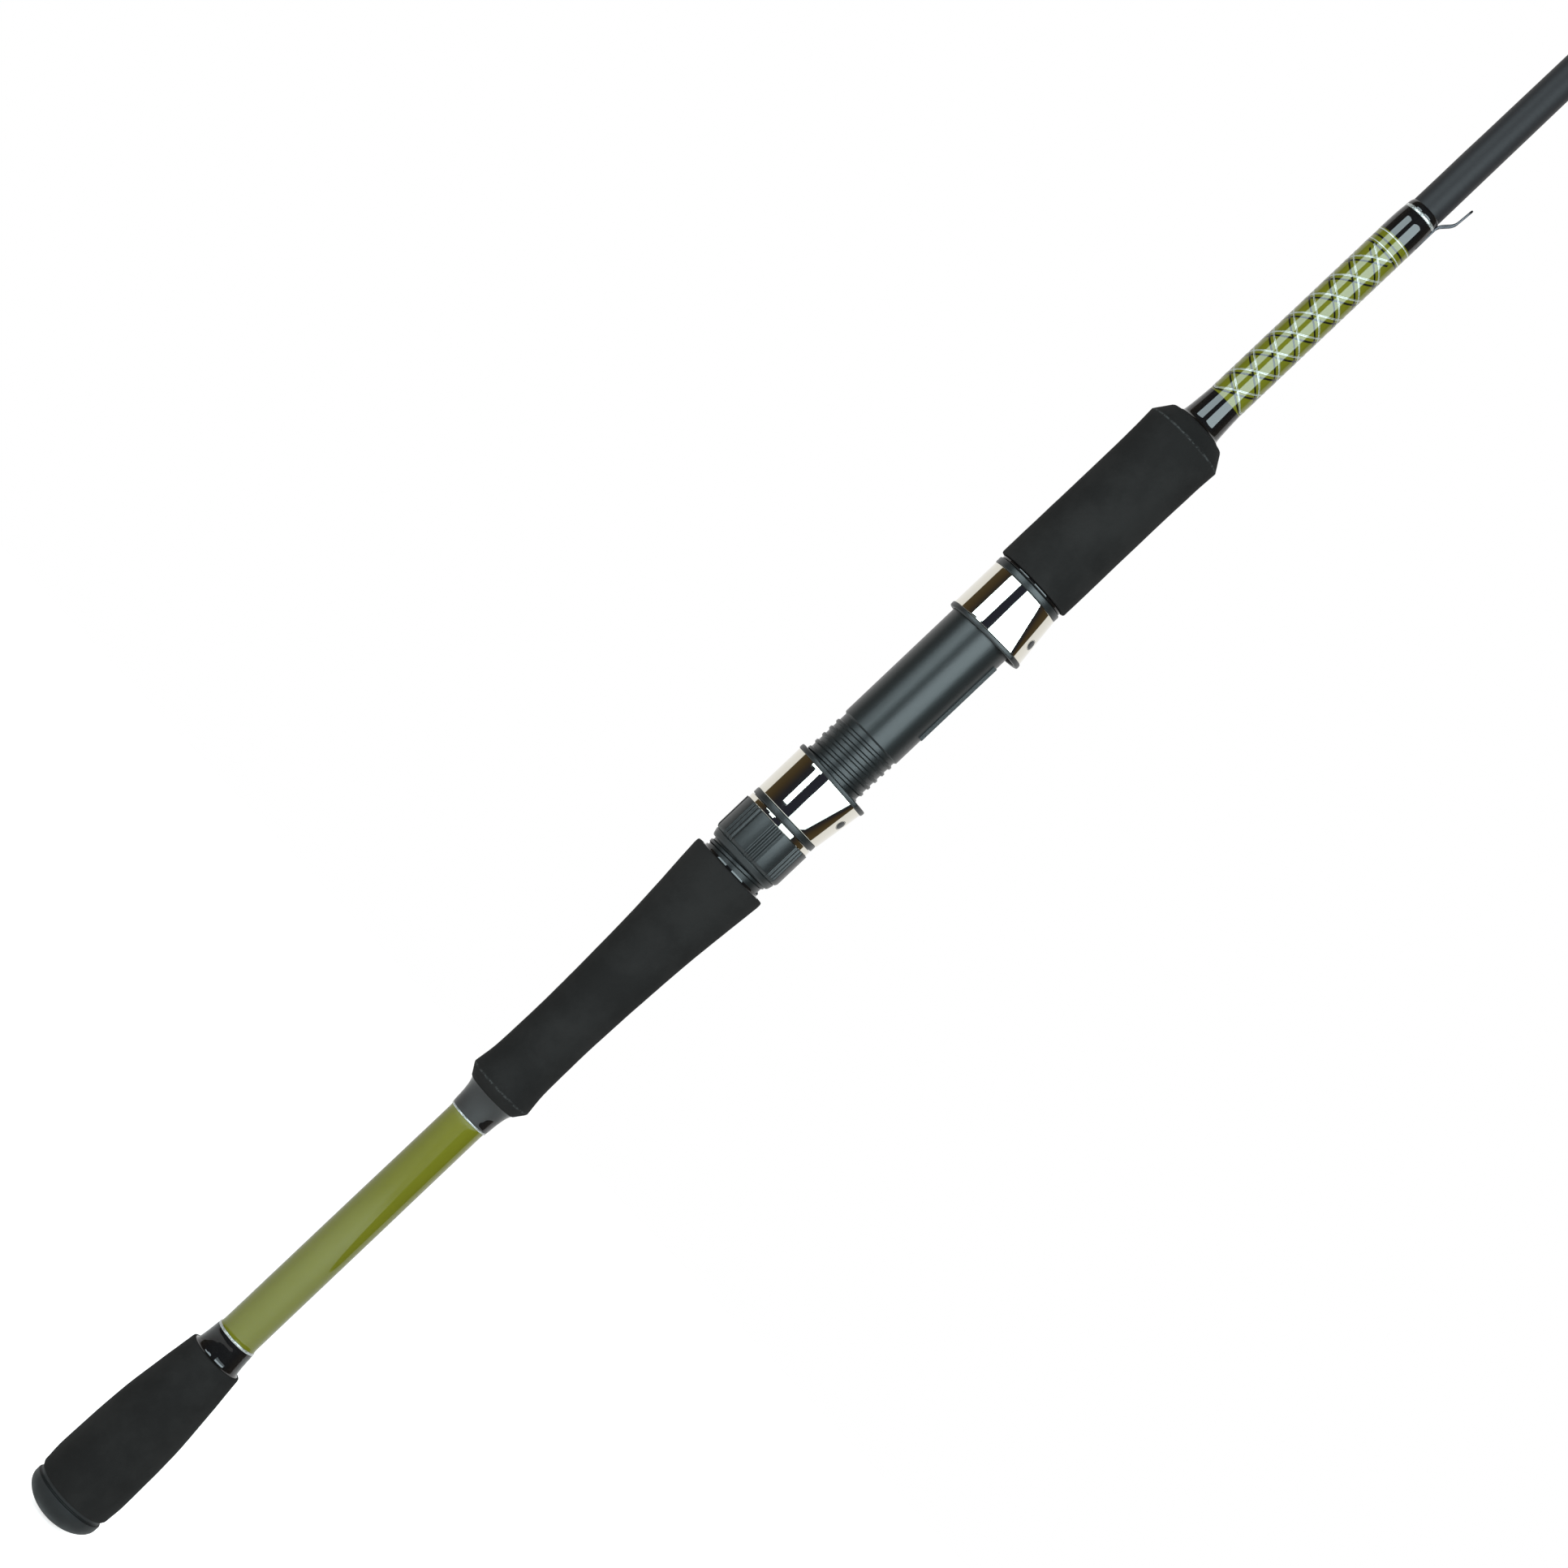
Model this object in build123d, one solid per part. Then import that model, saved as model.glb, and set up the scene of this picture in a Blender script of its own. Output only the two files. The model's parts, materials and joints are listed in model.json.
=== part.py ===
from build123d import *
import os
from math import cos, radians, sin

# Two-piece spinning rod with EVA grips and a screw-locking reel seat, and no reel fitted.
# The rod stands on its butt: the origin is the centre of the butt cap's end face, +Z runs
# along the blank towards the tip, and +X is the side on which the reel and line guides hang.
# Everything is in millimetres. A span is (lower z, upper z), and an outline is a list of (radius, z).

os.makedirs("parts", exist_ok=True)

FIT = 0.02  # radial gap between pieces that are glued together

# ---------------------------------------------------------------- blank and ferrule
BUTT_BLANK_SPAN = (4.0, 1254.0)
BUTT_BLANK_RADII = [(4.0, 7.05), (180.0, 6.80), (610.0, 5.39), (1254.0, 3.45)]  # (z, radius)
BUTT_BLANK_WALL = 1.2
FERRULE_Z = 1184.0
TIP_BLANK_TOP = 2430.0
TIP_BLANK_RADII = [(FERRULE_Z, 4.70), (1290.0, 4.35), (TIP_BLANK_TOP, 1.10)]
TIP_BORE_TOP = (2300.0, 0.55)  # (z, radius) where the hollow of the tip section ends
FERRULE_CLEARANCE = 0.05
FERRULE_SOCKET_TOP = BUTT_BLANK_SPAN[1] + 1.0
FERRULE_WRAP_SPAN = (1186.0, 1206.0)
FERRULE_BAND_SPAN = (1206.1, 1208.0)
FERRULE_WRAP_HEIGHT = 0.35

# ---------------------------------------------------------------- butt cap and rear handle
CAP_RADIUS = 13.2
CAP_FACE_RADIUS = 8.5
CAP_RIM_Z = 9.1
CAP_TOP_Z = 10.8
CAP_NECK_RADIUS = 12.7
REAR_GRIP_SPAN = (10.8, 71.8)
REAR_COLLAR_SPAN = (71.8, 80.0)
REAR_COLLAR_RADII = (8.3, 7.6)
REAR_RING_SPAN = (80.0, 80.9)
RING_RADII = (7.45, 7.30)  # rear and front silver rings of the painted section
PAINT_SPAN = (80.9, 179.4)
PAINT_RADII = (7.07, 6.88)
FRONT_RING_SPAN = (179.4, 180.1)
MID_COLLAR_SPAN = (180.1, 189.6)
MID_COLLAR_RADII = (7.2, 8.4)

# ---------------------------------------------------------------- middle grip and reel seat
MID_GRIP_SPAN = (189.6, 291.3)
SEAT_SPAN = (283.3, 420.6)
SEAT_BORE_RADIUS = 8.6
SEAT_TAIL_RADIUS = 11.25
SEAT_TAIL_TOP = 290.0
BARREL_SPAN = (351.5, 420.6)
BARREL_RADIUS = 11.35
THREAD_PITCH = 3.0
THREAD_ROOT_RADIUS = 10.7
THREAD_CREST_RADIUS = 11.25
THREAD_START_Z = 292.1
THREAD_TURNS = 19
THREAD_ROOT_WIDTH = 1.9
THREAD_CREST_WIDTH = 0.8
FOOT_LAND_SPAN = (362.0, 394.0)
FOOT_LAND_WIDTH = 9.0
FOOT_LAND_X = 11.6
KEYWAY_WIDTH = 3.4
KEYWAY_FLOOR_Y = 10.0
KEYWAY_TOP_Z = 364.0
ARBOR_SPANS = [(286.0, 306.0), (343.0, 361.0), (399.0, 419.0)]

# ---------------------------------------------------------------- lock nut
NUT_SPAN = (295.3, 311.3)
NUT_RADIUS = 13.25
NUT_COLLAR_RADIUS = 12.1
NUT_BODY_Z = 298.3
NUT_BORE_RADIUS = 11.4
NUT_THREAD_LEAD_IN = 2  # turns of the seat's thread below the nut's first one
NUT_THREAD_TURNS = 3
NUT_THREAD_TIP_RADIUS = 10.9
NUT_THREAD_WIDTHS = (1.1, 0.6)
NUT_RIB_GROUPS = 8
NUT_GROOVES_PER_GROUP = 3
NUT_GROOVE_STEP = 7.5  # degrees between the grooves of one group
NUT_GROOVE_RADIUS = 0.42
NUT_GROUP_START = -48.0  # degrees
NUT_NECK_RADIUS = 11.95
NUT_NECK_TOP_Z = 316.55
NUT_LIP_RADIUS = 12.2
NUT_LIP_Z = 315.8
TRIM_RING_SPAN = (311.3, 313.2)
TRIM_RING_RADIUS = 12.8

# ---------------------------------------------------------------- hoods
HOOD_RADIUS = 12.8
HOOD_SHEET = 0.4
HOOD_LINER_BORE = 11.45
HOOD_BULGE = 2.7  # how far the reel side stands out at the mouth
HOOD_BASE_BULGE = 0.3
HOOD_LENGTH = 18.9
HOOD_RIM_DEPTH = 1.7
HOOD_RIM_PROUD = 0.3
HOOD_RAKE = 2.2  # degrees that the mouth leans back on the reel side
HOOD_NUB_RADIUS = 1.65
HOOD_NUB_ANGLE = 23.0
HOOD_NUB_DEPTH = 8.4  # below the mouth
MOVING_MOUTH_Z = 334.5
FIXED_MOUTH_Z = 398.1
COLLAR_SPAN = (313.4, 315.6)
COLLAR_RADIUS = 12.85
COLLAR_BORE_RADIUS = 12.05
KEY_WIDTH = 3.0
KEY_FLOOR_Y = 10.2
KEY_SPAN = (317.0, 325.0)
FIXED_RING_SPAN = (417.0, 419.4)
FIXED_RING_RADIUS = 13.0
SEAT_WASHER_SPAN = (419.4, 420.6)
SEAT_WASHER_RADIUS = 12.5

# ---------------------------------------------------------------- fore grip and decorative wrap
FORE_GRIP_SPAN = (420.6, 491.4)
LOWER_WRAP_SPAN = (491.4, 502.4)
LOWER_WRAP_RADII = (7.2, 6.5)
DIAMOND_SPAN = (502.4, 575.2)
UNDERWRAP_RADIUS = 6.02
UPPER_WRAP_SPAN = (575.2, 585.2)
UPPER_WRAP_RADII = (6.42, 6.10)
WRAP_RING_SPAN = (585.2, 586.4)
WRAP_RING_RADIUS = 6.08
END_WRAP_SPAN = (586.4, 588.6)
END_WRAP_RADII = (6.0, 5.75)
DIAMOND_LEAD = 25.5
DIAMOND_STARTS = 3
DIAMOND_THREAD_SPAN = (505.3, 568.6)
DIAMOND_CROSSING = (507.0, -90.0)  # (z, degrees) of one crossing of the silver threads
DIAMOND_THREAD_WIDTH = 0.5
DIAMOND_THREAD_LAYER = 0.1
DIAMOND_SHADOW_SHIFT = 2.0  # how far the black threads lie below the silver ones

# ---------------------------------------------------------------- hook keeper
KEEPER_WIRE_RADIUS = 0.4
KEEPER_HALF_WIDTH = 1.8
KEEPER_FOOT_Z = 578.0
KEEPER_BEND_Z = 588.0
KEEPER_LOOP_Z = 592.0
KEEPER_END_Z = 599.0
KEEPER_LOOP_X = (9.3, 9.75)

# ---------------------------------------------------------------- line guides
GUIDE_COUNT = 7
FIRST_GUIDE_GAP = 105.0  # tip ring to the nearest guide
GUIDE_GAP_GROWTH = 1.2
TIP_RING_Z = 2438.0
GUIDE_HOLE_RADII = [12.4, 8.6, 6.8, 4.9, 3.9, 3.6, 3.6]  # from the butt to the tip
GUIDE_HEIGHTS = [31.0, 22.0, 16.0, 11.0, 8.5, 7.6, 7.2]  # hole centre above the rod's axis
DOUBLE_FOOT_GUIDES = 4  # the guides nearest the reel stand on two feet
GUIDE_INSERT_WALL = 1.1
GUIDE_HOOP_WALL = 0.7
GUIDE_HOOP_THICKNESS = 1.5
GUIDE_INSERT_THICKNESS = 2.1
GUIDE_SHEET = 0.8
GUIDE_FOOT_WIDTH = 2.4
GUIDE_LEG_WIDTH = 1.5
GUIDE_WRAP_HEIGHT = 0.35
GUIDE_WRAP_GAP = 2.8  # from the bend of the leg to the thread
GUIDE_WRAP_OVERRUN = 2.5  # past the end of the foot
TIP_TUBE_SPAN = (2417.0, 2432.0)
TIP_TUBE_WALL = 0.45
TIP_HOLE_RADIUS = 3.4
TIP_RING_X = 6.4
TIP_WIRE_RADIUS = 0.42


# ================================================================ helpers
def save(solid, node):
    """Write one node's solids as parts/NODE.step."""
    solid.label = node
    export_step(solid, "parts/" + node + ".step")


def radius_at(knots, z):
    """Radius at height z on a taper given by its (z, radius) knots."""
    for (z0, r0), (z1, r1) in zip(knots, knots[1:]):
        if z <= z1:
            return r0 + (r1 - r0) * (z - z0) / (z1 - z0)
    return knots[-1][1]


def turned(outline):
    """Solid of revolution about Z; the straight-sided outline is closed by itself."""
    return revolve(Plane.XZ * make_face(Polyline(*outline, close=True)), Axis.Z)


def turned_curve(lower_edge, side, upper_edge):
    """Solid of revolution whose side is a smooth curve, with straight runs below and above it."""
    curve = Spline(*side)
    below = Polyline((0, lower_edge[0][1]), *lower_edge, side[0])
    above = Polyline(side[-1], *upper_edge, (0, upper_edge[-1][1]))
    axis_line = Line((0, upper_edge[-1][1]), (0, lower_edge[0][1]))
    return revolve(Plane.XZ * make_face(Curve() + [below, curve, above, axis_line]), Axis.Z)


def blank_core(knots, span, gap=FIT):
    """What a piece on the blank has to leave free between two heights."""
    low, high = span
    inner_knots = [(r + gap, z) for z, r in knots if low < z < high]
    sides = [(radius_at(knots, low) + gap, low), *inner_knots, (radius_at(knots, high) + gap, high)]
    return turned([(0, low), *sides, (0, high)])


def wide(span, margin=1.0):
    """The span made longer at both ends, for a cutter that has to run through."""
    return (span[0] - margin, span[1] + margin)


def sleeve(span, radii, knots=BUTT_BLANK_RADII):
    """Thin tapered sleeve glued on the blank."""
    outer = turned([(0, span[0]), (radii[0], span[0]), (radii[1], span[1]), (0, span[1])])
    return outer - blank_core(knots, wide(span))


def ring(span, outer, inner):
    """Plain ring about the rod's axis."""
    return turned([(inner, span[0]), (outer, span[0]), (outer, span[1]), (inner, span[1])])


# ================================================================ blank
def make_butt_blank():
    """Tapered tube of the lower section."""
    outer = [(r, z) for z, r in BUTT_BLANK_RADII]
    bore = [(r - BUTT_BLANK_WALL, z) for z, r in reversed(BUTT_BLANK_RADII)]
    return turned(outer + bore)


def make_tip_blank():
    """Tip section: its lower end is a tapered socket that slides over the butt section."""
    socket_low = radius_at(BUTT_BLANK_RADII, FERRULE_Z) + FERRULE_CLEARANCE
    socket_high = radius_at(BUTT_BLANK_RADII, BUTT_BLANK_SPAN[1]) + FERRULE_CLEARANCE
    step_radius = socket_high - BUTT_BLANK_WALL
    outer = [(r, z) for z, r in TIP_BLANK_RADII]
    hollow = [
        (0, TIP_BLANK_TOP),
        (0, TIP_BORE_TOP[0]),
        (TIP_BORE_TOP[1], TIP_BORE_TOP[0]),
        (step_radius, FERRULE_SOCKET_TOP + step_radius),
        (socket_high, FERRULE_SOCKET_TOP),
        (socket_low, FERRULE_Z),
    ]
    return turned(outer + hollow)


# ================================================================ rear handle
def make_butt_cap():
    """Rubber cap: a flat end with a large edge radius, a rim and a stepped neck."""
    curve = [(CAP_FACE_RADIUS, 0), (11.6, 1.0), (12.95, 3.6), (CAP_RADIUS, 7.2)]
    neck = [
        (CAP_RADIUS, CAP_RIM_Z - 0.4),
        (CAP_RADIUS - 0.4, CAP_RIM_Z),
        (CAP_NECK_RADIUS - 0.3, CAP_RIM_Z + 0.2),
        (CAP_NECK_RADIUS, CAP_RIM_Z + 0.6),
        (CAP_NECK_RADIUS, CAP_TOP_Z),
    ]
    face = Polyline((0, 0), curve[0])
    side = Spline(*curve, tangents=[(1, 0), (0, 1)])
    top = Polyline(curve[-1], *neck, (0, CAP_TOP_Z))
    outline = Curve() + [face, side, top, Line((0, CAP_TOP_Z), (0, 0))]
    cap = revolve(Plane.XZ * make_face(outline), Axis.Z)
    return cap - blank_core(BUTT_BLANK_RADII, (BUTT_BLANK_SPAN[0], CAP_TOP_Z + 1))


def make_rear_grip():
    """EVA grip, full at the butt and tapering to the painted section."""
    low, high = REAR_GRIP_SPAN
    side = [(13.5, low + 0.9), (13.9, low + 8), (13.2, low + 31), (11.6, low + 47), (9.9, high - 0.6)]
    grip = turned_curve([(13.0, low)], side, [(9.3, high)])
    return grip - blank_core(BUTT_BLANK_RADII, wide(REAR_GRIP_SPAN))


def make_mid_grip():
    """EVA grip below the reel seat, waisted low down and flaring to a flat end face."""
    low, high = MID_GRIP_SPAN
    side = [(11.7, low + 3.9), (10.75, low + 12), (10.6, low + 36), (11.96, low + 72), (14.17, high - 2)]
    grip = turned_curve([(9.0, low)], side, [(14.17, high - 0.6), (13.8, high)])
    grip -= blank_core(BUTT_BLANK_RADII, wide(MID_GRIP_SPAN))
    counterbore = Cylinder(SEAT_TAIL_RADIUS + FIT, 20, align=(Align.CENTER, Align.CENTER, Align.MIN))
    grip -= Pos(0, 0, SEAT_SPAN[0] - FIT) * counterbore
    return grip


def make_fore_grip():
    """EVA grip above the reel seat: a plain barrel, a flared crease and a bevelled nose."""
    low, high = FORE_GRIP_SPAN
    side = [(13.8, low + 0.6), (13.72, low + 34), (13.85, low + 56), (14.25, high - 6.4)]
    nose = [(10.7, high - 1.1), (9.8, high - 0.3), (7.5, high)]
    grip = turned_curve([(13.4, low)], side, nose)
    return grip - blank_core(BUTT_BLANK_RADII, wide(FORE_GRIP_SPAN))


# ================================================================ reel seat
def thread_ridge(start_z, turns, radii, widths):
    """Right-hand helical ridge with (root, crest) radii and widths; it stands in or out."""
    root_radius, crest_radius = radii
    root_width, crest_width = widths
    path = Helix(pitch=THREAD_PITCH, height=THREAD_PITCH * turns, radius=root_radius)
    section = Plane(origin=path @ 0, x_dir=(1, 0, 0), z_dir=path % 0)
    sink = 0.15 if crest_radius > root_radius else -0.15
    outline = [
        (-sink, -root_width / 2),
        (-sink, root_width / 2),
        (crest_radius - root_radius, crest_width / 2),
        (crest_radius - root_radius, -crest_width / 2),
    ]
    ridge = sweep(section * make_face(Polyline(*outline, close=True)), path=path, is_frenet=True)
    return Pos(0, 0, start_z) * ridge


def make_reel_seat():
    """Moulded tube: plain tail, male thread with a keyway on the far side, barrel and foot land."""
    low, high = SEAT_SPAN
    tube = turned([
        (SEAT_BORE_RADIUS, low),
        (SEAT_TAIL_RADIUS, low),
        (SEAT_TAIL_RADIUS, SEAT_TAIL_TOP),
        (THREAD_ROOT_RADIUS, SEAT_TAIL_TOP + 0.6),
        (THREAD_ROOT_RADIUS, BARREL_SPAN[0] - 0.6),
        (BARREL_RADIUS, BARREL_SPAN[0]),
        (BARREL_RADIUS, high),
        (SEAT_BORE_RADIUS, high),
    ])
    radii = (THREAD_ROOT_RADIUS, THREAD_CREST_RADIUS)
    widths = (THREAD_ROOT_WIDTH, THREAD_CREST_WIDTH)
    seat = tube + thread_ridge(THREAD_START_Z, THREAD_TURNS, radii, widths)
    land_length = FOOT_LAND_SPAN[1] - FOOT_LAND_SPAN[0]
    land = Box(2.0, FOOT_LAND_WIDTH, land_length, align=(Align.MAX, Align.CENTER, Align.MIN))
    seat += Pos(FOOT_LAND_X, 0, FOOT_LAND_SPAN[0]) * land
    keyway_length = KEYWAY_TOP_Z - MID_GRIP_SPAN[1]
    keyway = Box(KEYWAY_WIDTH, 4.0, keyway_length, align=(Align.CENTER, Align.MIN, Align.MIN))
    return seat - Pos(0, KEYWAY_FLOOR_Y, MID_GRIP_SPAN[1]) * keyway


def make_seat_arbors():
    """Three bushings that centre the reel seat on the blank."""
    arbors = []
    for span in ARBOR_SPANS:
        arbor = ring(span, SEAT_BORE_RADIUS - FIT, 4.0) - blank_core(BUTT_BLANK_RADII, wide(span))
        arbors.append(arbor.solid())
    return Compound(children=arbors)


def make_lock_nut():
    """Ribbed nut with a female thread and a lipped neck that turns inside the moving hood."""
    low, high = NUT_SPAN
    nut = turned([
        (NUT_BORE_RADIUS, low),
        (NUT_COLLAR_RADIUS - 0.35, low),
        (NUT_COLLAR_RADIUS, low + 0.9),
        (NUT_COLLAR_RADIUS, NUT_BODY_Z - 0.2),
        (NUT_RADIUS, NUT_BODY_Z + 0.7),
        (NUT_RADIUS, high),
        (NUT_NECK_RADIUS, high),
        (NUT_NECK_RADIUS, NUT_LIP_Z),
        (NUT_LIP_RADIUS, NUT_LIP_Z),
        (NUT_LIP_RADIUS, NUT_NECK_TOP_Z - 0.3),
        (NUT_NECK_RADIUS, NUT_NECK_TOP_Z),
        (NUT_BORE_RADIUS, NUT_NECK_TOP_Z),
    ])
    from_base = (Align.CENTER, Align.CENTER, Align.MIN)
    groove = Cylinder(NUT_GROOVE_RADIUS, 2 * (high - NUT_BODY_Z), align=from_base)
    for group in range(NUT_RIB_GROUPS):
        for index in range(NUT_GROOVES_PER_GROUP):
            angle = NUT_GROUP_START + group * 360 / NUT_RIB_GROUPS + index * NUT_GROOVE_STEP
            place = Rot(0, 0, angle) * Pos(NUT_RADIUS, 0, NUT_BODY_Z)
            nut -= place * groove
    return nut + nut_thread()


def nut_thread():
    """The nut's inner ridge, centred in the groove of the seat's thread."""
    start_z = THREAD_START_Z + (NUT_THREAD_LEAD_IN + 0.5) * THREAD_PITCH
    return thread_ridge(start_z, NUT_THREAD_TURNS, (NUT_BORE_RADIUS, NUT_THREAD_TIP_RADIUS), NUT_THREAD_WIDTHS)


def make_trim_ring():
    """Bright ring pressed on the nut's shoulder."""
    return ring(TRIM_RING_SPAN, TRIM_RING_RADIUS, NUT_NECK_RADIUS + FIT)


# ================================================================ hoods
# A hood is drawn with its mouth at z = 0, opening upwards, and turned over for the fixed hood.
def hood_form(radius, low, high, extra_bulge=0.0):
    """Round at the back; on the reel side it leans out towards the mouth."""
    slope = (HOOD_BULGE - HOOD_BASE_BULGE) / HOOD_LENGTH
    bulge_low = HOOD_BULGE + slope * low + extra_bulge
    bulge_high = HOOD_BULGE + slope * high + extra_bulge
    height = high - low
    back = Pos(0, 0, low) * Cylinder(radius, height, align=(Align.CENTER, Align.CENTER, Align.MIN))
    wedge_side = make_face(Polyline((0, low), (bulge_low, low), (bulge_high, high), (0, high), close=True))
    wedge = extrude(Plane.XZ * wedge_side, radius, both=True)
    front_disc = Plane.XY.offset(low) * Pos(bulge_low, 0) * Circle(radius)
    lean = Vector(bulge_high - bulge_low, 0, height)
    front = extrude(front_disc, lean.length, dir=lean.normalized())
    return back + wedge + front


def mouth_plane(z):
    """Raked plane at height z that leans back on the reel side."""
    lean = radians(HOOD_RAKE)
    return Plane(origin=(0, 0, z), x_dir=(cos(lean), 0, -sin(lean)), z_dir=(sin(lean), 0, cos(lean)))


def below(solid, plane):
    """The part of a solid under a plane."""
    return split(solid, bisect_by=plane, keep=Keep.BOTTOM)


def above(solid, plane):
    """The part of a solid over a plane."""
    return split(solid, bisect_by=plane, keep=Keep.TOP)


def nub_tools(radius):
    """Two radial cylinders where the liner's nubs fill the holes in the cover."""
    tools = []
    for angle in (-HOOD_NUB_ANGLE, HOOD_NUB_ANGLE):
        tool = Rot(0, 90, 0) * Cylinder(radius, 6.0)
        slope = (HOOD_BULGE - HOOD_BASE_BULGE) / HOOD_LENGTH
        centre = Pos(HOOD_BULGE - slope * HOOD_NUB_DEPTH, 0, -HOOD_NUB_DEPTH)
        tools.append(centre * Rot(0, 0, angle) * Pos(HOOD_RADIUS, 0, 0) * tool)
    return tools


def make_hood_cover():
    """Bright metal skin of a hood."""
    shell = hood_form(HOOD_RADIUS, -HOOD_LENGTH, 1.0) - hood_form(HOOD_RADIUS - HOOD_SHEET, -HOOD_LENGTH, 1.0)
    for tool in nub_tools(HOOD_NUB_RADIUS + FIT):
        shell -= tool
    return below(shell, mouth_plane(-HOOD_RIM_DEPTH))


def make_hood_liner(low):
    """Moulded liner with the rim bead at the mouth; the reel's foot wedges inside it."""
    skin = hood_form(HOOD_RADIUS - HOOD_SHEET - FIT, low, 1.0)
    nub_skin = hood_form(HOOD_RADIUS - 0.1, low, 1.0)
    for tool in nub_tools(HOOD_NUB_RADIUS - FIT):
        skin += nub_skin & tool
    bead = hood_form(HOOD_RADIUS + HOOD_RIM_PROUD, -6.0, 3.0)
    bead = above(below(bead, mouth_plane(0)), mouth_plane(-HOOD_RIM_DEPTH + FIT))
    bead = fillet(bead.edges().filter_by(GeomType.LINE, reverse=True), 0.55)
    pocket = hood_form(HOOD_LINER_BORE, low - 1.0, 3.0)
    return below(skin, mouth_plane(-0.5)) + bead - pocket


def make_hoods():
    """Fixed and moving hoods from the same shell and liner."""
    cover = make_hood_cover()
    moving = Pos(0, 0, MOVING_MOUTH_Z)
    fixed = Pos(0, 0, FIXED_MOUTH_Z) * Rot(180, 0, 0)
    save(moving * cover, "moving_hood_cover")
    save(fixed * cover, "fixed_hood_cover")
    save(fixed * make_hood_liner(-HOOD_LENGTH), "fixed_hood_liner")

    liner = moving * make_hood_liner(KEY_SPAN[0] - MOVING_MOUTH_Z)
    key_length = KEY_SPAN[1] - KEY_SPAN[0]
    key = Box(KEY_WIDTH, 1.6, key_length, align=(Align.CENTER, Align.MIN, Align.MIN))
    save(liner + Pos(0, KEY_FLOOR_Y, KEY_SPAN[0]) * key, "moving_hood_liner")
    save(ring(COLLAR_SPAN, COLLAR_RADIUS, COLLAR_BORE_RADIUS), "moving_hood_collar")


# ================================================================ decorative wrap and keeper
def diamond_threads(inner_radius, shift):
    """Right-hand and left-hand helical threads; their crossings make the diamonds."""
    threads = []
    low, high = DIAMOND_THREAD_SPAN
    crossing_z, crossing_angle = DIAMOND_CROSSING
    for layer, turn in enumerate((1, -1)):
        radius = inner_radius + (layer + 0.5) * DIAMOND_THREAD_LAYER
        path = Helix(pitch=DIAMOND_LEAD, height=high - low, radius=radius, lefthand=turn < 0)
        section = Plane(origin=path @ 0, x_dir=(1, 0, 0), z_dir=path % 0)
        strip = section * Rectangle(DIAMOND_THREAD_LAYER, DIAMOND_THREAD_WIDTH)
        thread = sweep(strip, path=path, is_frenet=True)
        first_angle = crossing_angle + turn * 360 * (low - crossing_z) / DIAMOND_LEAD
        for start in range(DIAMOND_STARTS):
            place = Pos(0, 0, low - shift) * Rot(0, 0, first_angle + start * 360 / DIAMOND_STARTS)
            threads.append((place * thread).solid())
    return Compound(children=threads)


def make_hook_keeper():
    """Wire hairpin: two feet bound under the wrap and a loop that stands off the blank."""
    foot_x = radius_at(BUTT_BLANK_RADII, KEEPER_BEND_Z) + KEEPER_WIRE_RADIUS + FIT
    side = KEEPER_HALF_WIDTH
    points = [
        (foot_x, -side, KEEPER_FOOT_Z),
        (foot_x, -side, KEEPER_BEND_Z),
        (KEEPER_LOOP_X[0], -side, KEEPER_LOOP_Z),
        (KEEPER_LOOP_X[1], -side, KEEPER_END_Z),
        (KEEPER_LOOP_X[1], side, KEEPER_END_Z),
        (KEEPER_LOOP_X[0], side, KEEPER_LOOP_Z),
        (foot_x, side, KEEPER_BEND_Z),
        (foot_x, side, KEEPER_FOOT_Z),
    ]
    path = FilletPolyline(*points, radius=1.2)
    section = Plane(origin=path @ 0, z_dir=path % 0) * Circle(KEEPER_WIRE_RADIUS)
    return sweep(section, path=path)


# ================================================================ line guides
def wire(points, radius, bend):
    """Round wire along straight runs with rounded corners."""
    path = FilletPolyline(*points, radius=bend)
    return sweep(Plane(origin=path @ 0, z_dir=path % 0) * Circle(radius), path=path)


def guide_insert(hole_radius, centre):
    """Ceramic ring with rounded edges."""
    outer = hole_radius + GUIDE_INSERT_WALL
    body = Cylinder(outer, GUIDE_INSERT_THICKNESS) - Cylinder(hole_radius, GUIDE_INSERT_THICKNESS)
    body = fillet(body.edges().filter_by(GeomType.CIRCLE), 0.4)
    return centre * body


def guide_reach(height, blank_radius):
    """How far along the rod a guide's legs run from the ring to the start of a foot."""
    return 2.0 + 0.62 * (height - blank_radius)


def guide_feet(index, z, knots):
    """(direction, start z, end z, lowest x) of each foot; the front foot points to the tip."""
    blank_radius = radius_at(knots, z)
    reach = guide_reach(GUIDE_HEIGHTS[index], blank_radius)
    length = 9.0 + 1.6 * blank_radius
    directions = (1, -1) if index < DOUBLE_FOOT_GUIDES else (1,)
    feet = []
    for direction in directions:
        start = z + direction * reach
        end = start + direction * length
        feet.append((direction, start, end, radius_at(knots, min(start, end)) + FIT))
    return feet


def tapered_face(tip_x, tip_half_width, centre_x, radius):
    """Outline of tangent lines from a short base to a circle, seen along the rod."""
    circle = CenterArc((centre_x, 0), radius, 0, 360)
    base = Line((tip_x, -tip_half_width), (tip_x, tip_half_width))
    return make_hull((Curve() + [circle, base]).edges())


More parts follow.
